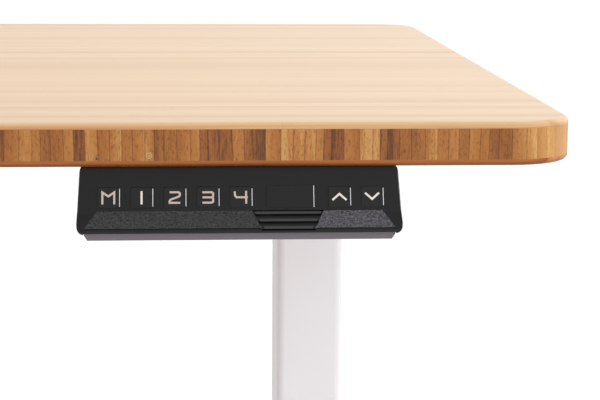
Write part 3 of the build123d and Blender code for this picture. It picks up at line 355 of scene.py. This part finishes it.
def grained(name, hex_colour, roughness, grain_mm, depth_mm, cloud=0.05, stretch=(1, 1, 1),
            **sockets):
    """A material with a soft cloud in its tone and a bump of the given grain and depth."""
    material, tree, shader = start_material(name, hex_colour, roughness, **sockets)
    place = add(tree, "ShaderNodeTexCoord").outputs["Object"]
    spread = add(tree, "ShaderNodeMapping", None, {"Vector": place, "Scale": stretch})
    tone = add(tree, "ShaderNodeTexNoise", None, {"Vector": place, "Scale": CLOUDS, "Detail": 2})
    factor = add(tree, "ShaderNodeMath", {"operation": "MULTIPLY"},
                 {0: tone.outputs["Fac"], 1: cloud * 2})
    mixed = add(tree, "ShaderNodeMix", {"data_type": "RGBA", "blend_type": "MULTIPLY"},
                {"Factor": factor.outputs[0], "A": linear(hex_colour), "B": linear("909090")})
    tree.links.new(mixed.outputs["Result"], shader.inputs["Base Color"])
    grit = add(tree, "ShaderNodeTexNoise", None,
               {"Vector": spread.outputs[0], "Scale": 1 / (grain_mm * MM), "Detail": 2})
    bump = add(tree, "ShaderNodeBump", None,
               {"Height": grit.outputs["Fac"], "Strength": 0.6, "Distance": depth_mm * MM})
    tree.links.new(bump.outputs[0], shader.inputs["Normal"])
    return material


powder_white = grained("powder_coated_steel_white", "E4E2E4", 0.38, 1.1, 0.02, 0.02)
dress(powder_white, "outer_tube_left", "outer_tube_right", "middle_tube_left",
      "middle_tube_right", "inner_tube_left", "inner_tube_right", "leg_head", "side_bracket",
      "crossbar", "foot_left", "foot_right")
dress(grained("acetal_moulded_black", "1B1B1D", 0.4, 0.6, 0.01), "outer_tube_bushes",
      "middle_tube_bush", "middle_tube_head", "inner_tube_heads")
dress(grained("abs_textured_box_black", "202022", 0.55, 0.7, 0.05), "control_box")
dress(grained("steel_rolled_greased", "A7A8AA", 0.28, 0.4, 0.01, 0.1, (1, 1, 8), metallic=1.0),
      "drive_screw", "hollow_screw", "motor_rotor")
dress(grained("steel_zinc_plated", "C3C6C9", 0.3, 0.5, 0.01, 0.08, metallic=1.0),
      "desktop_screws")
dress(grained("steel_black_oxide", "1A1A1B", 0.45, 0.4, 0.01, metallic=0.6),
      "frame_bolts", "foot_bolts", "handset_screws")
dress(grained("aluminium_die_cast", "B4B6B8", 0.46, 0.9, 0.05, 0.1, metallic=1.0), "gearbox")
dress(grained("steel_painted_black", "161617", 0.35, 1.0, 0.02), "motor_left", "motor_right")
dress(grained("bronze_machined", "B08D4C", 0.32, 0.4, 0.01, 0.1, metallic=1.0),
      "drive_nut", "inner_nuts", "worm_wheel")
dress(grained("circuit_board_green", "1C5A2E", 0.4, 2.0, 0.02), "handset_board")
dress(grained("epoxy_display_block", "202022", 0.3, 1.0, 0.01), "display_module")
print("materials so far:", len(bpy.data.materials))

# %% [markdown]
# A levelling foot is a zinc-plated stud and plate on a black rubber sole. It is one CAD
# piece, so its material tells steel from rubber by the height above the floor.

# %% Zinc-plated steel over a rubber sole
SOLE_TOP = 7.0 * MM           # above the floor


def leveller_steel():
    """Bright zinc above the sole's top and black rubber below it, told apart by height."""
    material, tree, shader = start_material("steel_zinc_plated_on_rubber", "C3C6C9", 0.3)
    place = add(tree, "ShaderNodeTexCoord").outputs["Object"]
    height = add(tree, "ShaderNodeSeparateXYZ", None, {0: place}).outputs["Z"]
    metal = add(tree, "ShaderNodeMath", {"operation": "GREATER_THAN"},
                {0: height, 1: SOLE_TOP}).outputs[0]
    grit = add(tree, "ShaderNodeTexNoise", None,
               {"Vector": place, "Scale": 1 / (0.6 * MM), "Detail": 2}).outputs["Fac"]
    zinc = add(tree, "ShaderNodeValToRGB", None, {0: grit}, [(0.3, "AEB1B5"), (0.7, "CDD0D2")])
    rubber = add(tree, "ShaderNodeValToRGB", None, {0: grit}, [(0.3, "151516"), (0.7, "1F1F20")])
    colour = add(tree, "ShaderNodeMix", {"data_type": "RGBA"},
                 {"Factor": metal, "A": rubber.outputs[0], "B": zinc.outputs[0]})
    tree.links.new(colour.outputs["Result"], shader.inputs["Base Color"])
    tree.links.new(metal, shader.inputs["Metallic"])
    gloss = add(tree, "ShaderNodeMapRange", None, {0: metal, 3: 0.7, 4: 0.3})
    tree.links.new(gloss.outputs[0], shader.inputs["Roughness"])
    bump = add(tree, "ShaderNodeBump", None, {"Height": grit, "Strength": 0.5,
                                              "Distance": 0.01 * MM})
    tree.links.new(bump.outputs[0], shader.inputs["Normal"])
    return material


print("levellers:", dress(leveller_steel(), "leveller"))

# %% [markdown]
# ## The handset
#
# The housing is one black ABS moulding with two textures from the same mould: the key panel
# is nearly smooth, and the two raised pads of the palm shelf below it are coarse and greyer,
# the right one most. The recess between them has smooth ribs, whose tops are painted light,
# a grey lighter than the housing, and at either end of the ribs the gap's shade is painted as
# a black darker than the housing.
#
# The key panel is a sloping plane, and most of what follows is laid out on it: the legends,
# the rims and the shelf. It is anchored on the display window, the one piece whose box has
# the same middle as the piece itself.

# %% The key panel's frame of reference
PANEL_RUN, PANEL_FALL = 8.5, 22.6      # mm forward for so many mm down
PANEL_LEAN = math.atan2(PANEL_RUN, PANEL_FALL)
PANEL_DOWN = np.array([0.0, -math.sin(PANEL_LEAN), -math.cos(PANEL_LEAN)])
PANEL_OUT = np.array([0.0, -math.cos(PANEL_LEAN), math.sin(PANEL_LEAN)])
PANEL_LENGTH = 26.3 * MM      # down the slope, from the desktop to the shelf
WINDOW_DOWN = 17.8 * MM       # down the slope to the middle of the window
WINDOW_SUNK = 0.8 * MM        # from the panel's face in to the middle of the window
KEY_DOWN = 18.1 * MM          # down the slope to the middle of the keys
KEY_SUNK = 0.3 * MM           # from the panel's face in to the keys' faces
WELL = np.array([12.8, 12.4]) * MM     # width and height of a key's opening


def middle(node_name):
    """The middle of a CAD node's box."""
    low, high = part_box(node_name)
    return (np.array(low) + np.array(high)) / 2


window = middle("display_window")
panel_top = window - PANEL_DOWN * WINDOW_DOWN + PANEL_OUT * WINDOW_SUNK
handset_x = float(middle("handset_face")[0])


def on_panel(x, down, out):
    """The place that is this far across, down the slope of and out from the key panel."""
    return np.array([x, panel_top[1], panel_top[2]]) + PANEL_DOWN * down + PANEL_OUT * out


print("panel top edge at Y", round(panel_top[1], 4), "Z", round(panel_top[2], 4))

# %% [markdown]
# The palm shelf is a second sloping plane, from the foot of the key panel down to the
# handset's front lip.

# %% The palm shelf's frame of reference
SHELF_FORWARD = 13.0 * MM     # front edge of the shelf, from the desktop's front face
SHELF_DROP = 32.8 * MM        # and below the underside of the desktop
shelf_top = on_panel(handset_x, PANEL_LENGTH, 0)
desk_low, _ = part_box("desktop_back_ply")
shelf_end = np.array([handset_x, desk_low[1] - SHELF_FORWARD, desk_low[2] - SHELF_DROP])
shelf_length = float(np.linalg.norm(shelf_end - shelf_top))
SHELF_DOWN = (shelf_end - shelf_top) / shelf_length
SHELF_OUT = np.array([0.0, SHELF_DOWN[2], -SHELF_DOWN[1]])
print("shelf is", round(shelf_length / MM, 1), "mm long")

# %% [markdown]
# The housing is one CAD piece too. Its material finds the pads by their distance from the
# shelf's plane and by their slanted ends, the recess by its own slanted ends, and the ribs
# in the recess because they come up to the plane.

# %% Black ABS with two coarse palm pads
PAD_HALF = (81.3 * MM, 88.0 * MM)      # half width at the shelf's upper and lower edge
RECESS_HALF = (20.3 * MM, 15.0 * MM)
RECESS_LEFT_OF_DISPLAY = 1.4 * MM
RIB_GAP = 1.1 * MM            # mm of a rib's end painted with the gap's shade, next to the recess's side
ON_PLANE = 0.12 * MM          # what lies this near to the shelf's plane is a pad or a rib
PAD_GRIT, FINE_GRIT = 1.1 * MM, 0.25 * MM
# the second colour is painted shade for the gaps at the ribs' ends, the third painted light for
# the ribs' tops
HOUSING_BLACK, GAP_PAINTED_SHADE, RIB_PAINTED_LIGHT = "0D0D0E", "030304", "363638"
PAD_LEFT_GREY, PAD_RIGHT_GREY = "464648", "68666C"


def handset_abs():
    """Grey on the pads, painted light on the ribs' tops, painted shade at their ends, else near
    black.

    A point is on a pad if its distance from the shelf's plane is nought and its X is between
    the pads' slanted ends, which part evenly down the shelf: half = top + down * slope.
    """
    material, tree, shader = start_material("abs_moulded_black_two_textures", HOUSING_BLACK,
                                            0.42, specular_ior_level=0.25)
    place = add(tree, "ShaderNodeTexCoord").outputs["Object"]
    offset = add(tree, "ShaderNodeVectorMath", {"operation": "SUBTRACT"},
                 {0: place, 1: shelf_top.tolist()}).outputs[0]
    height = add(tree, "ShaderNodeVectorMath", {"operation": "DOT_PRODUCT"},
                 {0: offset, 1: SHELF_OUT.tolist()}).outputs["Value"]
    down = add(tree, "ShaderNodeVectorMath", {"operation": "DOT_PRODUCT"},
               {0: offset, 1: SHELF_DOWN.tolist()}).outputs["Value"]
    x = add(tree, "ShaderNodeSeparateXYZ", None, {0: place}).outputs["X"]

    def trapezoid(middle_x, halves, inset=0.0):
        """1 between the slanted sides of a trapezoid on the shelf, else 0."""
        half = add(tree, "ShaderNodeMath", {"operation": "MULTIPLY_ADD"},
                   {0: down, 1: (halves[1] - halves[0]) / shelf_length, 2: halves[0] - inset})
        return add(tree, "ShaderNodeMath", {"operation": "COMPARE"},
                   {0: x, 1: float(middle_x), 2: half.outputs[0]}).outputs[0]

    recess_x = window[0] - RECESS_LEFT_OF_DISPLAY
    recess = trapezoid(recess_x, RECESS_HALF)
    rib_ends = trapezoid(recess_x, RECESS_HALF, RIB_GAP)
    on_top = add(tree, "ShaderNodeMath", {"operation": "COMPARE"},
                 {0: height, 1: 0.0, 2: ON_PLANE}).outputs[0]
    pads = add(tree, "ShaderNodeMath", {"operation": "MULTIPLY"},
               {0: on_top, 1: trapezoid(handset_x, PAD_HALF)}).outputs[0]
    not_recess = add(tree, "ShaderNodeMath", {"operation": "SUBTRACT"},
                     {0: 1.0, 1: recess}).outputs[0]
    pad = add(tree, "ShaderNodeMath", {"operation": "MULTIPLY"},
              {0: pads, 1: not_recess}).outputs[0]
    rib = add(tree, "ShaderNodeMath", {"operation": "MULTIPLY"},
              {0: pads, 1: rib_ends}).outputs[0]
    gap = add(tree, "ShaderNodeMath", {"operation": "SUBTRACT"},
              {0: recess, 1: rib_ends}).outputs[0]
    shelf_gap_shade = add(tree, "ShaderNodeMath", {"operation": "MULTIPLY"},
                    {0: gap, 1: pads}).outputs[0]
    right_side = add(tree, "ShaderNodeMath", {"operation": "GREATER_THAN"},
                     {0: x, 1: float(recess_x)}).outputs[0]
    grit = add(tree, "ShaderNodeTexNoise", None,
               {"Vector": place, "Scale": 1 / PAD_GRIT, "Detail": 3, "Roughness": 0.65})
    speckle = add(tree, "ShaderNodeMapRange", None,
                  {0: grit.outputs["Fac"], 1: 0.3, 2: 0.7}).outputs[0]
    pad_tone = add(tree, "ShaderNodeMix", {"data_type": "RGBA"},
                   {"Factor": right_side, "A": linear(PAD_LEFT_GREY),
                    "B": linear(PAD_RIGHT_GREY)})
    coarse = add(tree, "ShaderNodeMath", {"operation": "MULTIPLY"},
                 {0: speckle, 1: pad}).outputs[0]
    tone = add(tree, "ShaderNodeMix", {"data_type": "RGBA"},
               {"Factor": coarse, "A": linear(HOUSING_BLACK),
                "B": pad_tone.outputs["Result"]})
    # painted light on the ribs' tops, then painted shade on the gaps at their ends
    rib_lit = add(tree, "ShaderNodeMix", {"data_type": "RGBA"},
                 {"Factor": rib, "A": tone.outputs["Result"], "B": linear(RIB_PAINTED_LIGHT)})
    gap_shaded = add(tree, "ShaderNodeMix", {"data_type": "RGBA"},
                 {"Factor": shelf_gap_shade, "A": rib_lit.outputs["Result"],
                  "B": linear(GAP_PAINTED_SHADE)})
    tree.links.new(gap_shaded.outputs["Result"], shader.inputs["Base Color"])
    gloss = add(tree, "ShaderNodeMapRange", None, {0: pad, 3: 0.42, 4: 0.62})
    tree.links.new(gloss.outputs[0], shader.inputs["Roughness"])
    fine = add(tree, "ShaderNodeTexNoise", None,
               {"Vector": place, "Scale": 1 / FINE_GRIT, "Detail": 1})
    grain = add(tree, "ShaderNodeMath", {"operation": "MULTIPLY_ADD"},
                {0: coarse, 1: 4.0, 2: fine.outputs["Fac"]})
    bump = add(tree, "ShaderNodeBump", None,
               {"Height": grain.outputs[0], "Strength": 0.5, "Distance": 0.02 * MM})
    tree.links.new(bump.outputs[0], shader.inputs["Normal"])
    return material


print("housing:", dress(handset_abs(), "handset_face"))
dress(grained("abs_moulded_dark_grey", "645E63", 0.5, 0.5, 0.02), "handset_base")
dress(grained("abs_smooth_key_caps", "0A0A0B", 0.38, 0.4, 0.008, specular_ior_level=0.3), "key")
dress(grained("acrylic_smoked", "0A0A0C", 0.16, 3.0, 0.004, specular_ior_level=0.3),
      "display_window")

# %% [markdown]
# ## The legends
#
# The keys are pad-printed with pale ink: M, 1, 2, 3, 4 and two arrows, all in strokes of one
# width with square ends. The ink of the 1 and of the arrows is fresher and brighter. A font
# would bring its own shapes, so each legend is a few centre lines instead, and one function
# turns a centre line into a ribbon. At each point the ribbon's two sides stand off along the
# mitre, the direction that halves the corner, so that the stroke keeps its width round a
# bend.

# %% Ribbons from centre lines


def ribbon(points, width):
    """Left and right edges of a stroke.

    The mitre at a point is the sum of the unit normals of the runs before and after it,
    scaled so that its length along either normal is half the stroke's width.
    """
    line = np.array(points, float)
    runs = np.diff(line, axis=0)
    runs /= np.linalg.norm(runs, axis=1)[:, None]
    normals = np.column_stack([-runs[:, 1], runs[:, 0]])
    before = np.vstack([normals[:1], normals])
    after = np.vstack([normals, normals[-1:]])
    mitre = before + after
    mitre /= np.sum(mitre * before, axis=1)[:, None]
    return line + mitre * width / 2, line - mitre * width / 2


def new_piece(name, vertices, faces, material, body):
    """Puts arrays of vertices and faces in a mesh and lets the piece ride on a CAD body."""
    mesh = bpy.data.meshes.new(name)
    mesh.from_pydata(np.asarray(vertices).tolist(), [], [list(f) for f in faces])
    mesh.materials.append(material)
    piece = bpy.data.objects.new(name, mesh)
    bpy.context.scene.collection.objects.link(piece)
    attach(piece, body)
    return piece


def raised_ribbons(strokes, width, place, thickness):
    """Closed slabs over ribbons: the four corners of each run, at the bottom and the top.

    Each slab is a quarter thicker than the one before it, so that two never share a face
    where they cross.
    """
    vertices, faces = [], []
    for order, stroke in enumerate(strokes):
        left, right = ribbon(stroke, width)
        count, start = len(left), len(vertices)
        flat = np.vstack([left, right])
        for level in (0.0, thickness * (1 + order / 4)):
            vertices += [place(u, v, level) for u, v in flat]
        low_l, low_r = start + np.arange(count), start + count + np.arange(count)
        top_l, top_r = low_l + 2 * count, low_r + 2 * count
        sides = [(top_r, top_l), (low_l, low_r), (top_l, low_l), (low_r, top_r)]
        for a, b in sides:
            faces += list(zip(a[:-1], a[1:], b[1:], b[:-1]))
        faces.append((low_r[0], top_r[0], top_l[0], low_l[0]))
        faces.append((low_l[-1], top_l[-1], top_r[-1], low_r[-1]))
    return np.array(vertices), faces


left, right = ribbon([(0, 0), (0, 2), (2, 2)], 1.0)
print("a bend's inner and outer corner:", right[1], left[1])

# %% The legends' centre lines, in millimetres from the middle of the key
STROKE = 1.15                 # mm, the width of every stroke
INK_THICKNESS = 0.05          # mm, thicker than real ink so that it shows
LEGENDS = {
    "key_memory": [[(-3.35, -3.7), (-3.35, 3.2), (0, 0.9), (3.35, 3.2), (3.35, -3.7)]],
    "key_1": [[(0, -3.8), (0, 3.8)]],
    "key_2": [[(-2.9, 3.1), (2.2, 3.1), (2.9, 2.5), (2.9, 1.3), (2.3, 0.6), (-2.2, -1.1),
               (-2.9, -1.9), (-2.9, -3.0), (3.1, -3.0)]],
    "key_3": [[(-3.1, 3.0), (2.3, 3.0), (3.0, 2.4), (3.0, 0.8), (2.5, 0.05), (3.0, -0.7),
               (3.0, -2.4), (2.3, -3.0), (-3.1, -3.0)], [(-3.0, 0.05), (2.3, 0.05)]],
    "key_4": [[(-3.5, 3.4), (-3.3, 0.9), (-2.4, 0.0), (3.9, 0.0)], [(3.0, 3.7), (3.0, -3.7)]],
    "key_up": [[(-4.0, -1.9), (0, 1.7), (4.0, -1.9)]],
    "key_down": [[(-4.0, 2.2), (0, -1.4), (4.0, 2.2)]],
}
ink = grained("ink_pad_printed_pale", "BBAAA2", 0.5, 0.3, 0.005)
fresh_ink = grained("ink_pad_printed_fresh", "DDD4CC", 0.5, 0.3, 0.005)
FRESH = ("key_1", "key_up", "key_down")
for key_name, strokes in LEGENDS.items():
    key_x = float(middle(key_name)[0])

    def on_key(u, v, level, key_x=key_x):
        return on_panel(key_x + u * MM, KEY_DOWN - v * MM, level * MM - KEY_SUNK)

    verts, quads = raised_ribbons(strokes, STROKE, on_key, INK_THICKNESS)
    new_piece("legend_" + key_name[4:], verts, quads, fresh_ink if key_name in FRESH else ink,
              key_name)
print("legends:", len(LEGENDS))

# %% [markdown]
# ## Rims round the keys and the display
#
# Each well in the panel has a fine rounded rim, and along its right-hand side a pale hairline is
# painted: a painted glint, standing in for the light that edge catches. The rim is a half circle
# carried along a rounded rectangle: the path gives a point and a direction, and the profile's
# two coordinates run across it and out of the panel. The painted glint is one more closed ribbon.

# %% Rims
DISPLAY_WELL = np.array([27.0, 13.4]) * MM
KEY_EDGE, DISPLAY_EDGE = 5.1 * MM, 6.2 * MM    # half the height of the painted glint
RIM_WIDER = 0.4 * MM          # the rim's path is this much wider and higher than the well
RIM_CORNER, RIM_BEAD = 1.3 * MM, 0.15 * MM     # radius of the path's corners, and of the bead
EDGE_IN, EDGE_WIDTH, EDGE_HEIGHT = 0.05 * MM, 0.36 * MM, 0.2 * MM


def rounded_rectangle(width, height, radius, steps=6):
    """Points round a rectangle, with each corner a quarter circle, and their outward normals."""
    turn = np.linspace(0, math.pi / 2, steps)
    angles = (np.arange(4)[:, None] * math.pi / 2 + turn).ravel()
    corner_x = np.repeat([1, -1, -1, 1], steps) * (width / 2 - radius)
    corner_y = np.repeat([1, 1, -1, -1], steps) * (height / 2 - radius)
    normals = np.column_stack([np.cos(angles), np.sin(angles)])
    return np.column_stack([corner_x, corner_y]) + normals * radius, normals


def swept_rim(size, radius, bead, place, steps=5):
    """A half-round bead: path point + normal * bead * cos a, raised by bead * sin a."""
    path, normals = rounded_rectangle(size[0], size[1], radius)
    angle = np.linspace(0, math.pi, steps)
    flat = path[:, None, :] + normals[:, None, :] * (bead * np.cos(angle))[None, :, None]
    level = np.broadcast_to(bead * np.sin(angle), flat.shape[:2])
    vertices = [place(u, v, w) for (u, v), w in zip(flat.reshape(-1, 2), level.ravel())]
    ring, across = np.meshgrid(np.arange(len(path)), np.arange(steps), indexing="ij")
    here = ring * steps + across
    after = ((ring + 1) % len(path)) * steps + across
    wrapped = np.roll(here, -1, axis=1), np.roll(after, -1, axis=1)
    faces = np.stack([here, after, wrapped[1], wrapped[0]], axis=-1).reshape(-1, 4)
    return vertices, faces.tolist()


rim_gloss = grained("abs_polished_rim", "1C1C1E", 0.25, 0.5, 0.004, specular_ior_level=0.3)
painted_glint = grained("abs_painted_glint", "D8D8DA", 0.3, 0.5, 0.004)
# each well: middle across, middle down the panel, size, half the height of its painted glint
wells = {name: (float(middle(name)[0]), KEY_DOWN, WELL, KEY_EDGE) for name in LEGENDS}
wells["display"] = (float(window[0]), WINDOW_DOWN, DISPLAY_WELL, DISPLAY_EDGE)
for name, (well_x, well_down, size, edge_v) in wells.items():

    def on_face(u, v, level, well_x=well_x, well_down=well_down):
        return on_panel(well_x + u, well_down - v, level)

    rim_verts, rim_faces = swept_rim(size + RIM_WIDER, RIM_CORNER, RIM_BEAD, on_face)
    new_piece("rim_" + name, rim_verts, rim_faces, rim_gloss, "top")
    # a pale strip along the well's right side: a painted glint
    edge_u = size[0] / 2 - EDGE_IN
    verts, quads = raised_ribbons([[(edge_u, -edge_v), (edge_u, edge_v)]], EDGE_WIDTH, on_face,
                                  EDGE_HEIGHT)
    new_piece("edge_" + name, verts, quads, painted_glint, "top")
print("rims:", len(wells))

# %% [markdown]
# The housing's two side edges are slightly rounded, and the right one catches the light as a
# thin grey line. The round is drawn as a narrow closed strip that faces between the front
# and the side, first down the key panel and then down the shelf.

# %% Side edges
SIDE_TOP = 90.5 * MM          # half width of the housing at the desktop
SIDE_WIDER, SIDE_HEIGHT = 2.0 * MM, 36.7 * MM  # it gets this much wider over this height
SIDE_FROM = 2.6 * MM          # down the panel's slope to where the strip starts
SIDE_TO = 31.0 * MM           # straight down from the desktop to where it ends
SIDE_STRIP, SIDE_INSET, SIDE_THICK = 0.6 * MM, 0.1 * MM, 0.03 * MM
SIDE_LEAN = math.radians(30)  # how far the strip is turned from the front to the side


def side_point(side, plane_point):
    """The place on the housing's side edge that is level with a place on its front."""
    drop = desk_low[2] - plane_point[2]
    half = SIDE_TOP + SIDE_WIDER * drop / SIDE_HEIGHT
    return np.array([handset_x + side * half, plane_point[1], plane_point[2]])


side_gloss = grained("abs_polished_side_edge", "2C2C2E", 0.2, 0.5, 0.004,
                     specular_ior_level=1.0)
top_point = panel_top + PANEL_DOWN * SIDE_FROM
low_point = shelf_top + SHELF_DOWN * ((desk_low[2] - shelf_top[2] - SIDE_TO) / SHELF_DOWN[2])
for side, side_name in ((-1, "left"), (1, "right")):
    for part_name, ends, out in (("panel", (top_point, shelf_top), PANEL_OUT),
                                 ("shelf", (shelf_top, low_point), SHELF_OUT)):
        start, end = (side_point(side, point) for point in ends[::-side])
        right = np.array([side, 0.0, 0.0])

        def on_edge(u, v, level, start=start, end=end, right=right, out=out):
            across = right * math.cos(SIDE_LEAN) - out * math.sin(SIDE_LEAN)
            facing = right * math.sin(SIDE_LEAN) + out * math.cos(SIDE_LEAN)
            return start + (end - start) * v + across * (u - SIDE_INSET) + facing * level

        verts, quads = raised_ribbons([[(0, 0), (0, 1)]], SIDE_STRIP, on_edge, SIDE_THICK)
        new_piece("side_" + part_name + "_" + side_name, verts, quads, side_gloss, "top")
print("side edges from", np.round(top_point, 4), "to", np.round(low_point, 4))

# %% [markdown]
# ## Floor, light and camera
#
# A pale seamless floor under soft light from all round is what a product studio uses for a
# white cut-out look. The world gives the light, brighter on the right and a little at the
# back, so that each side of the legs has its own tone, and an even white backdrop where it
# is seen directly. Two wide soft boxes add a little, one from above and one from the front.

# %% Floor
FLOOR_HALF = 60.0             # m, so far that its edge never shows

floor_mesh = bpy.data.meshes.new("studio_floor")
corners = [(x, y, 0.0) for x, y in ((-1, -1), (1, -1), (1, 1), (-1, 1))]
floor_mesh.from_pydata([(x * FLOOR_HALF, y * FLOOR_HALF, z) for x, y, z in corners], [],
                       [(0, 1, 2, 3)])
floor_mesh.materials.append(grained("paper_seamless_white", "FAFAFA", 0.9, 30, 0.1, 0.01))
studio_floor = bpy.data.objects.new("studio_floor", floor_mesh)
bpy.context.scene.collection.objects.link(studio_floor)
print("floor:", 2 * FLOOR_HALF, "m square")

# %% Light
AIR_LEVEL, AIR_TO_RIGHT, AIR_TO_BACK = 1.08, 0.74, 0.08   # strength, and its two slopes
BACKDROP_LEVEL = 1.1          # strength where the world is seen directly


def studio_air():
    """White air whose strength grows towards +X and +Y: level + a * x + b * y.

    Seen directly, behind the desk, it is an even white backdrop.
    """
    world = bpy.data.worlds.new("studio_air")
    world.use_nodes = True
    tree = world.node_tree
    way = add(tree, "ShaderNodeTexCoord").outputs["Generated"]
    axes = add(tree, "ShaderNodeSeparateXYZ", None, {0: way}).outputs
    across = add(tree, "ShaderNodeMath", {"operation": "MULTIPLY_ADD"},
                 {0: axes["X"], 1: AIR_TO_RIGHT, 2: AIR_LEVEL})
    strength = add(tree, "ShaderNodeMath", {"operation": "MULTIPLY_ADD"},
                   {0: axes["Y"], 1: AIR_TO_BACK, 2: across.outputs[0]})
    air = tree.nodes["Background"]
    air.inputs["Color"].default_value = linear("FFFFFF")
    direct = add(tree, "ShaderNodeLightPath").outputs["Is Camera Ray"]
    shown = add(tree, "ShaderNodeMix", {"data_type": "FLOAT"},
                {"Factor": direct, "A": strength.outputs[0], "B": BACKDROP_LEVEL})
    tree.links.new(shown.outputs["Result"], air.inputs["Strength"])
    return world


bpy.context.scene.world = studio_air()


def soft_box(name, place, target, size, power):
    """A white rectangular area light that faces a target point; power is in watts."""
    light = bpy.data.lights.new(name, "AREA")
    light.shape = "RECTANGLE"
    light.size, light.size_y = size
    light.energy = power
    lamp = bpy.data.objects.new(name, light)
    lamp.location = place
    lamp.rotation_euler = (Vector(target) - Vector(place)).to_track_quat("-Z", "Y").to_euler()
    bpy.context.scene.collection.objects.link(lamp)


soft_box("soft_box_overhead", place=(0.4, 1.0, 3.4), target=(0.3, 0.0, 0.7), size=(3.5, 2.5),
         power=12)
soft_box("soft_box_front", place=(0.7, -3.0, 0.9), target=(0.6, -0.2, 0.6), size=(2.4, 1.4),
         power=11)
print("lights:", len(bpy.data.lights))

# %% [markdown]
# The camera stands in front of the right end of the desk, a little above it, and looks down
# and slightly to the right through a long lens. It is aimed by a small roll, then a tilt,
# then a turn about Z.

# %% Camera
CAMERA_PLACE = (0.53035, -1.38021, 0.86957)
YAW, PITCH, ROLL = (math.radians(angle) for angle in (3.998, 9.798, 0.36))
LENS, SENSOR = 107.5, 36.0    # mm
camera_data = bpy.data.cameras.new("camera")
camera_data.lens = LENS
camera_data.sensor_width = SENSOR
camera = bpy.data.objects.new("camera", camera_data)
turn = (Matrix.Rotation(-YAW, 4, "Z") @ Matrix.Rotation(math.pi / 2 - PITCH, 4, "X")
        @ Matrix.Rotation(ROLL, 4, "Z"))
camera.matrix_world = Matrix.Translation(CAMERA_PLACE) @ turn
bpy.context.scene.collection.objects.link(camera)
bpy.context.scene.camera = camera
bpy.context.scene.view_settings.view_transform = "Standard"
print("camera:", round(math.degrees(PITCH), 1), "degrees down, lens", LENS, "mm")
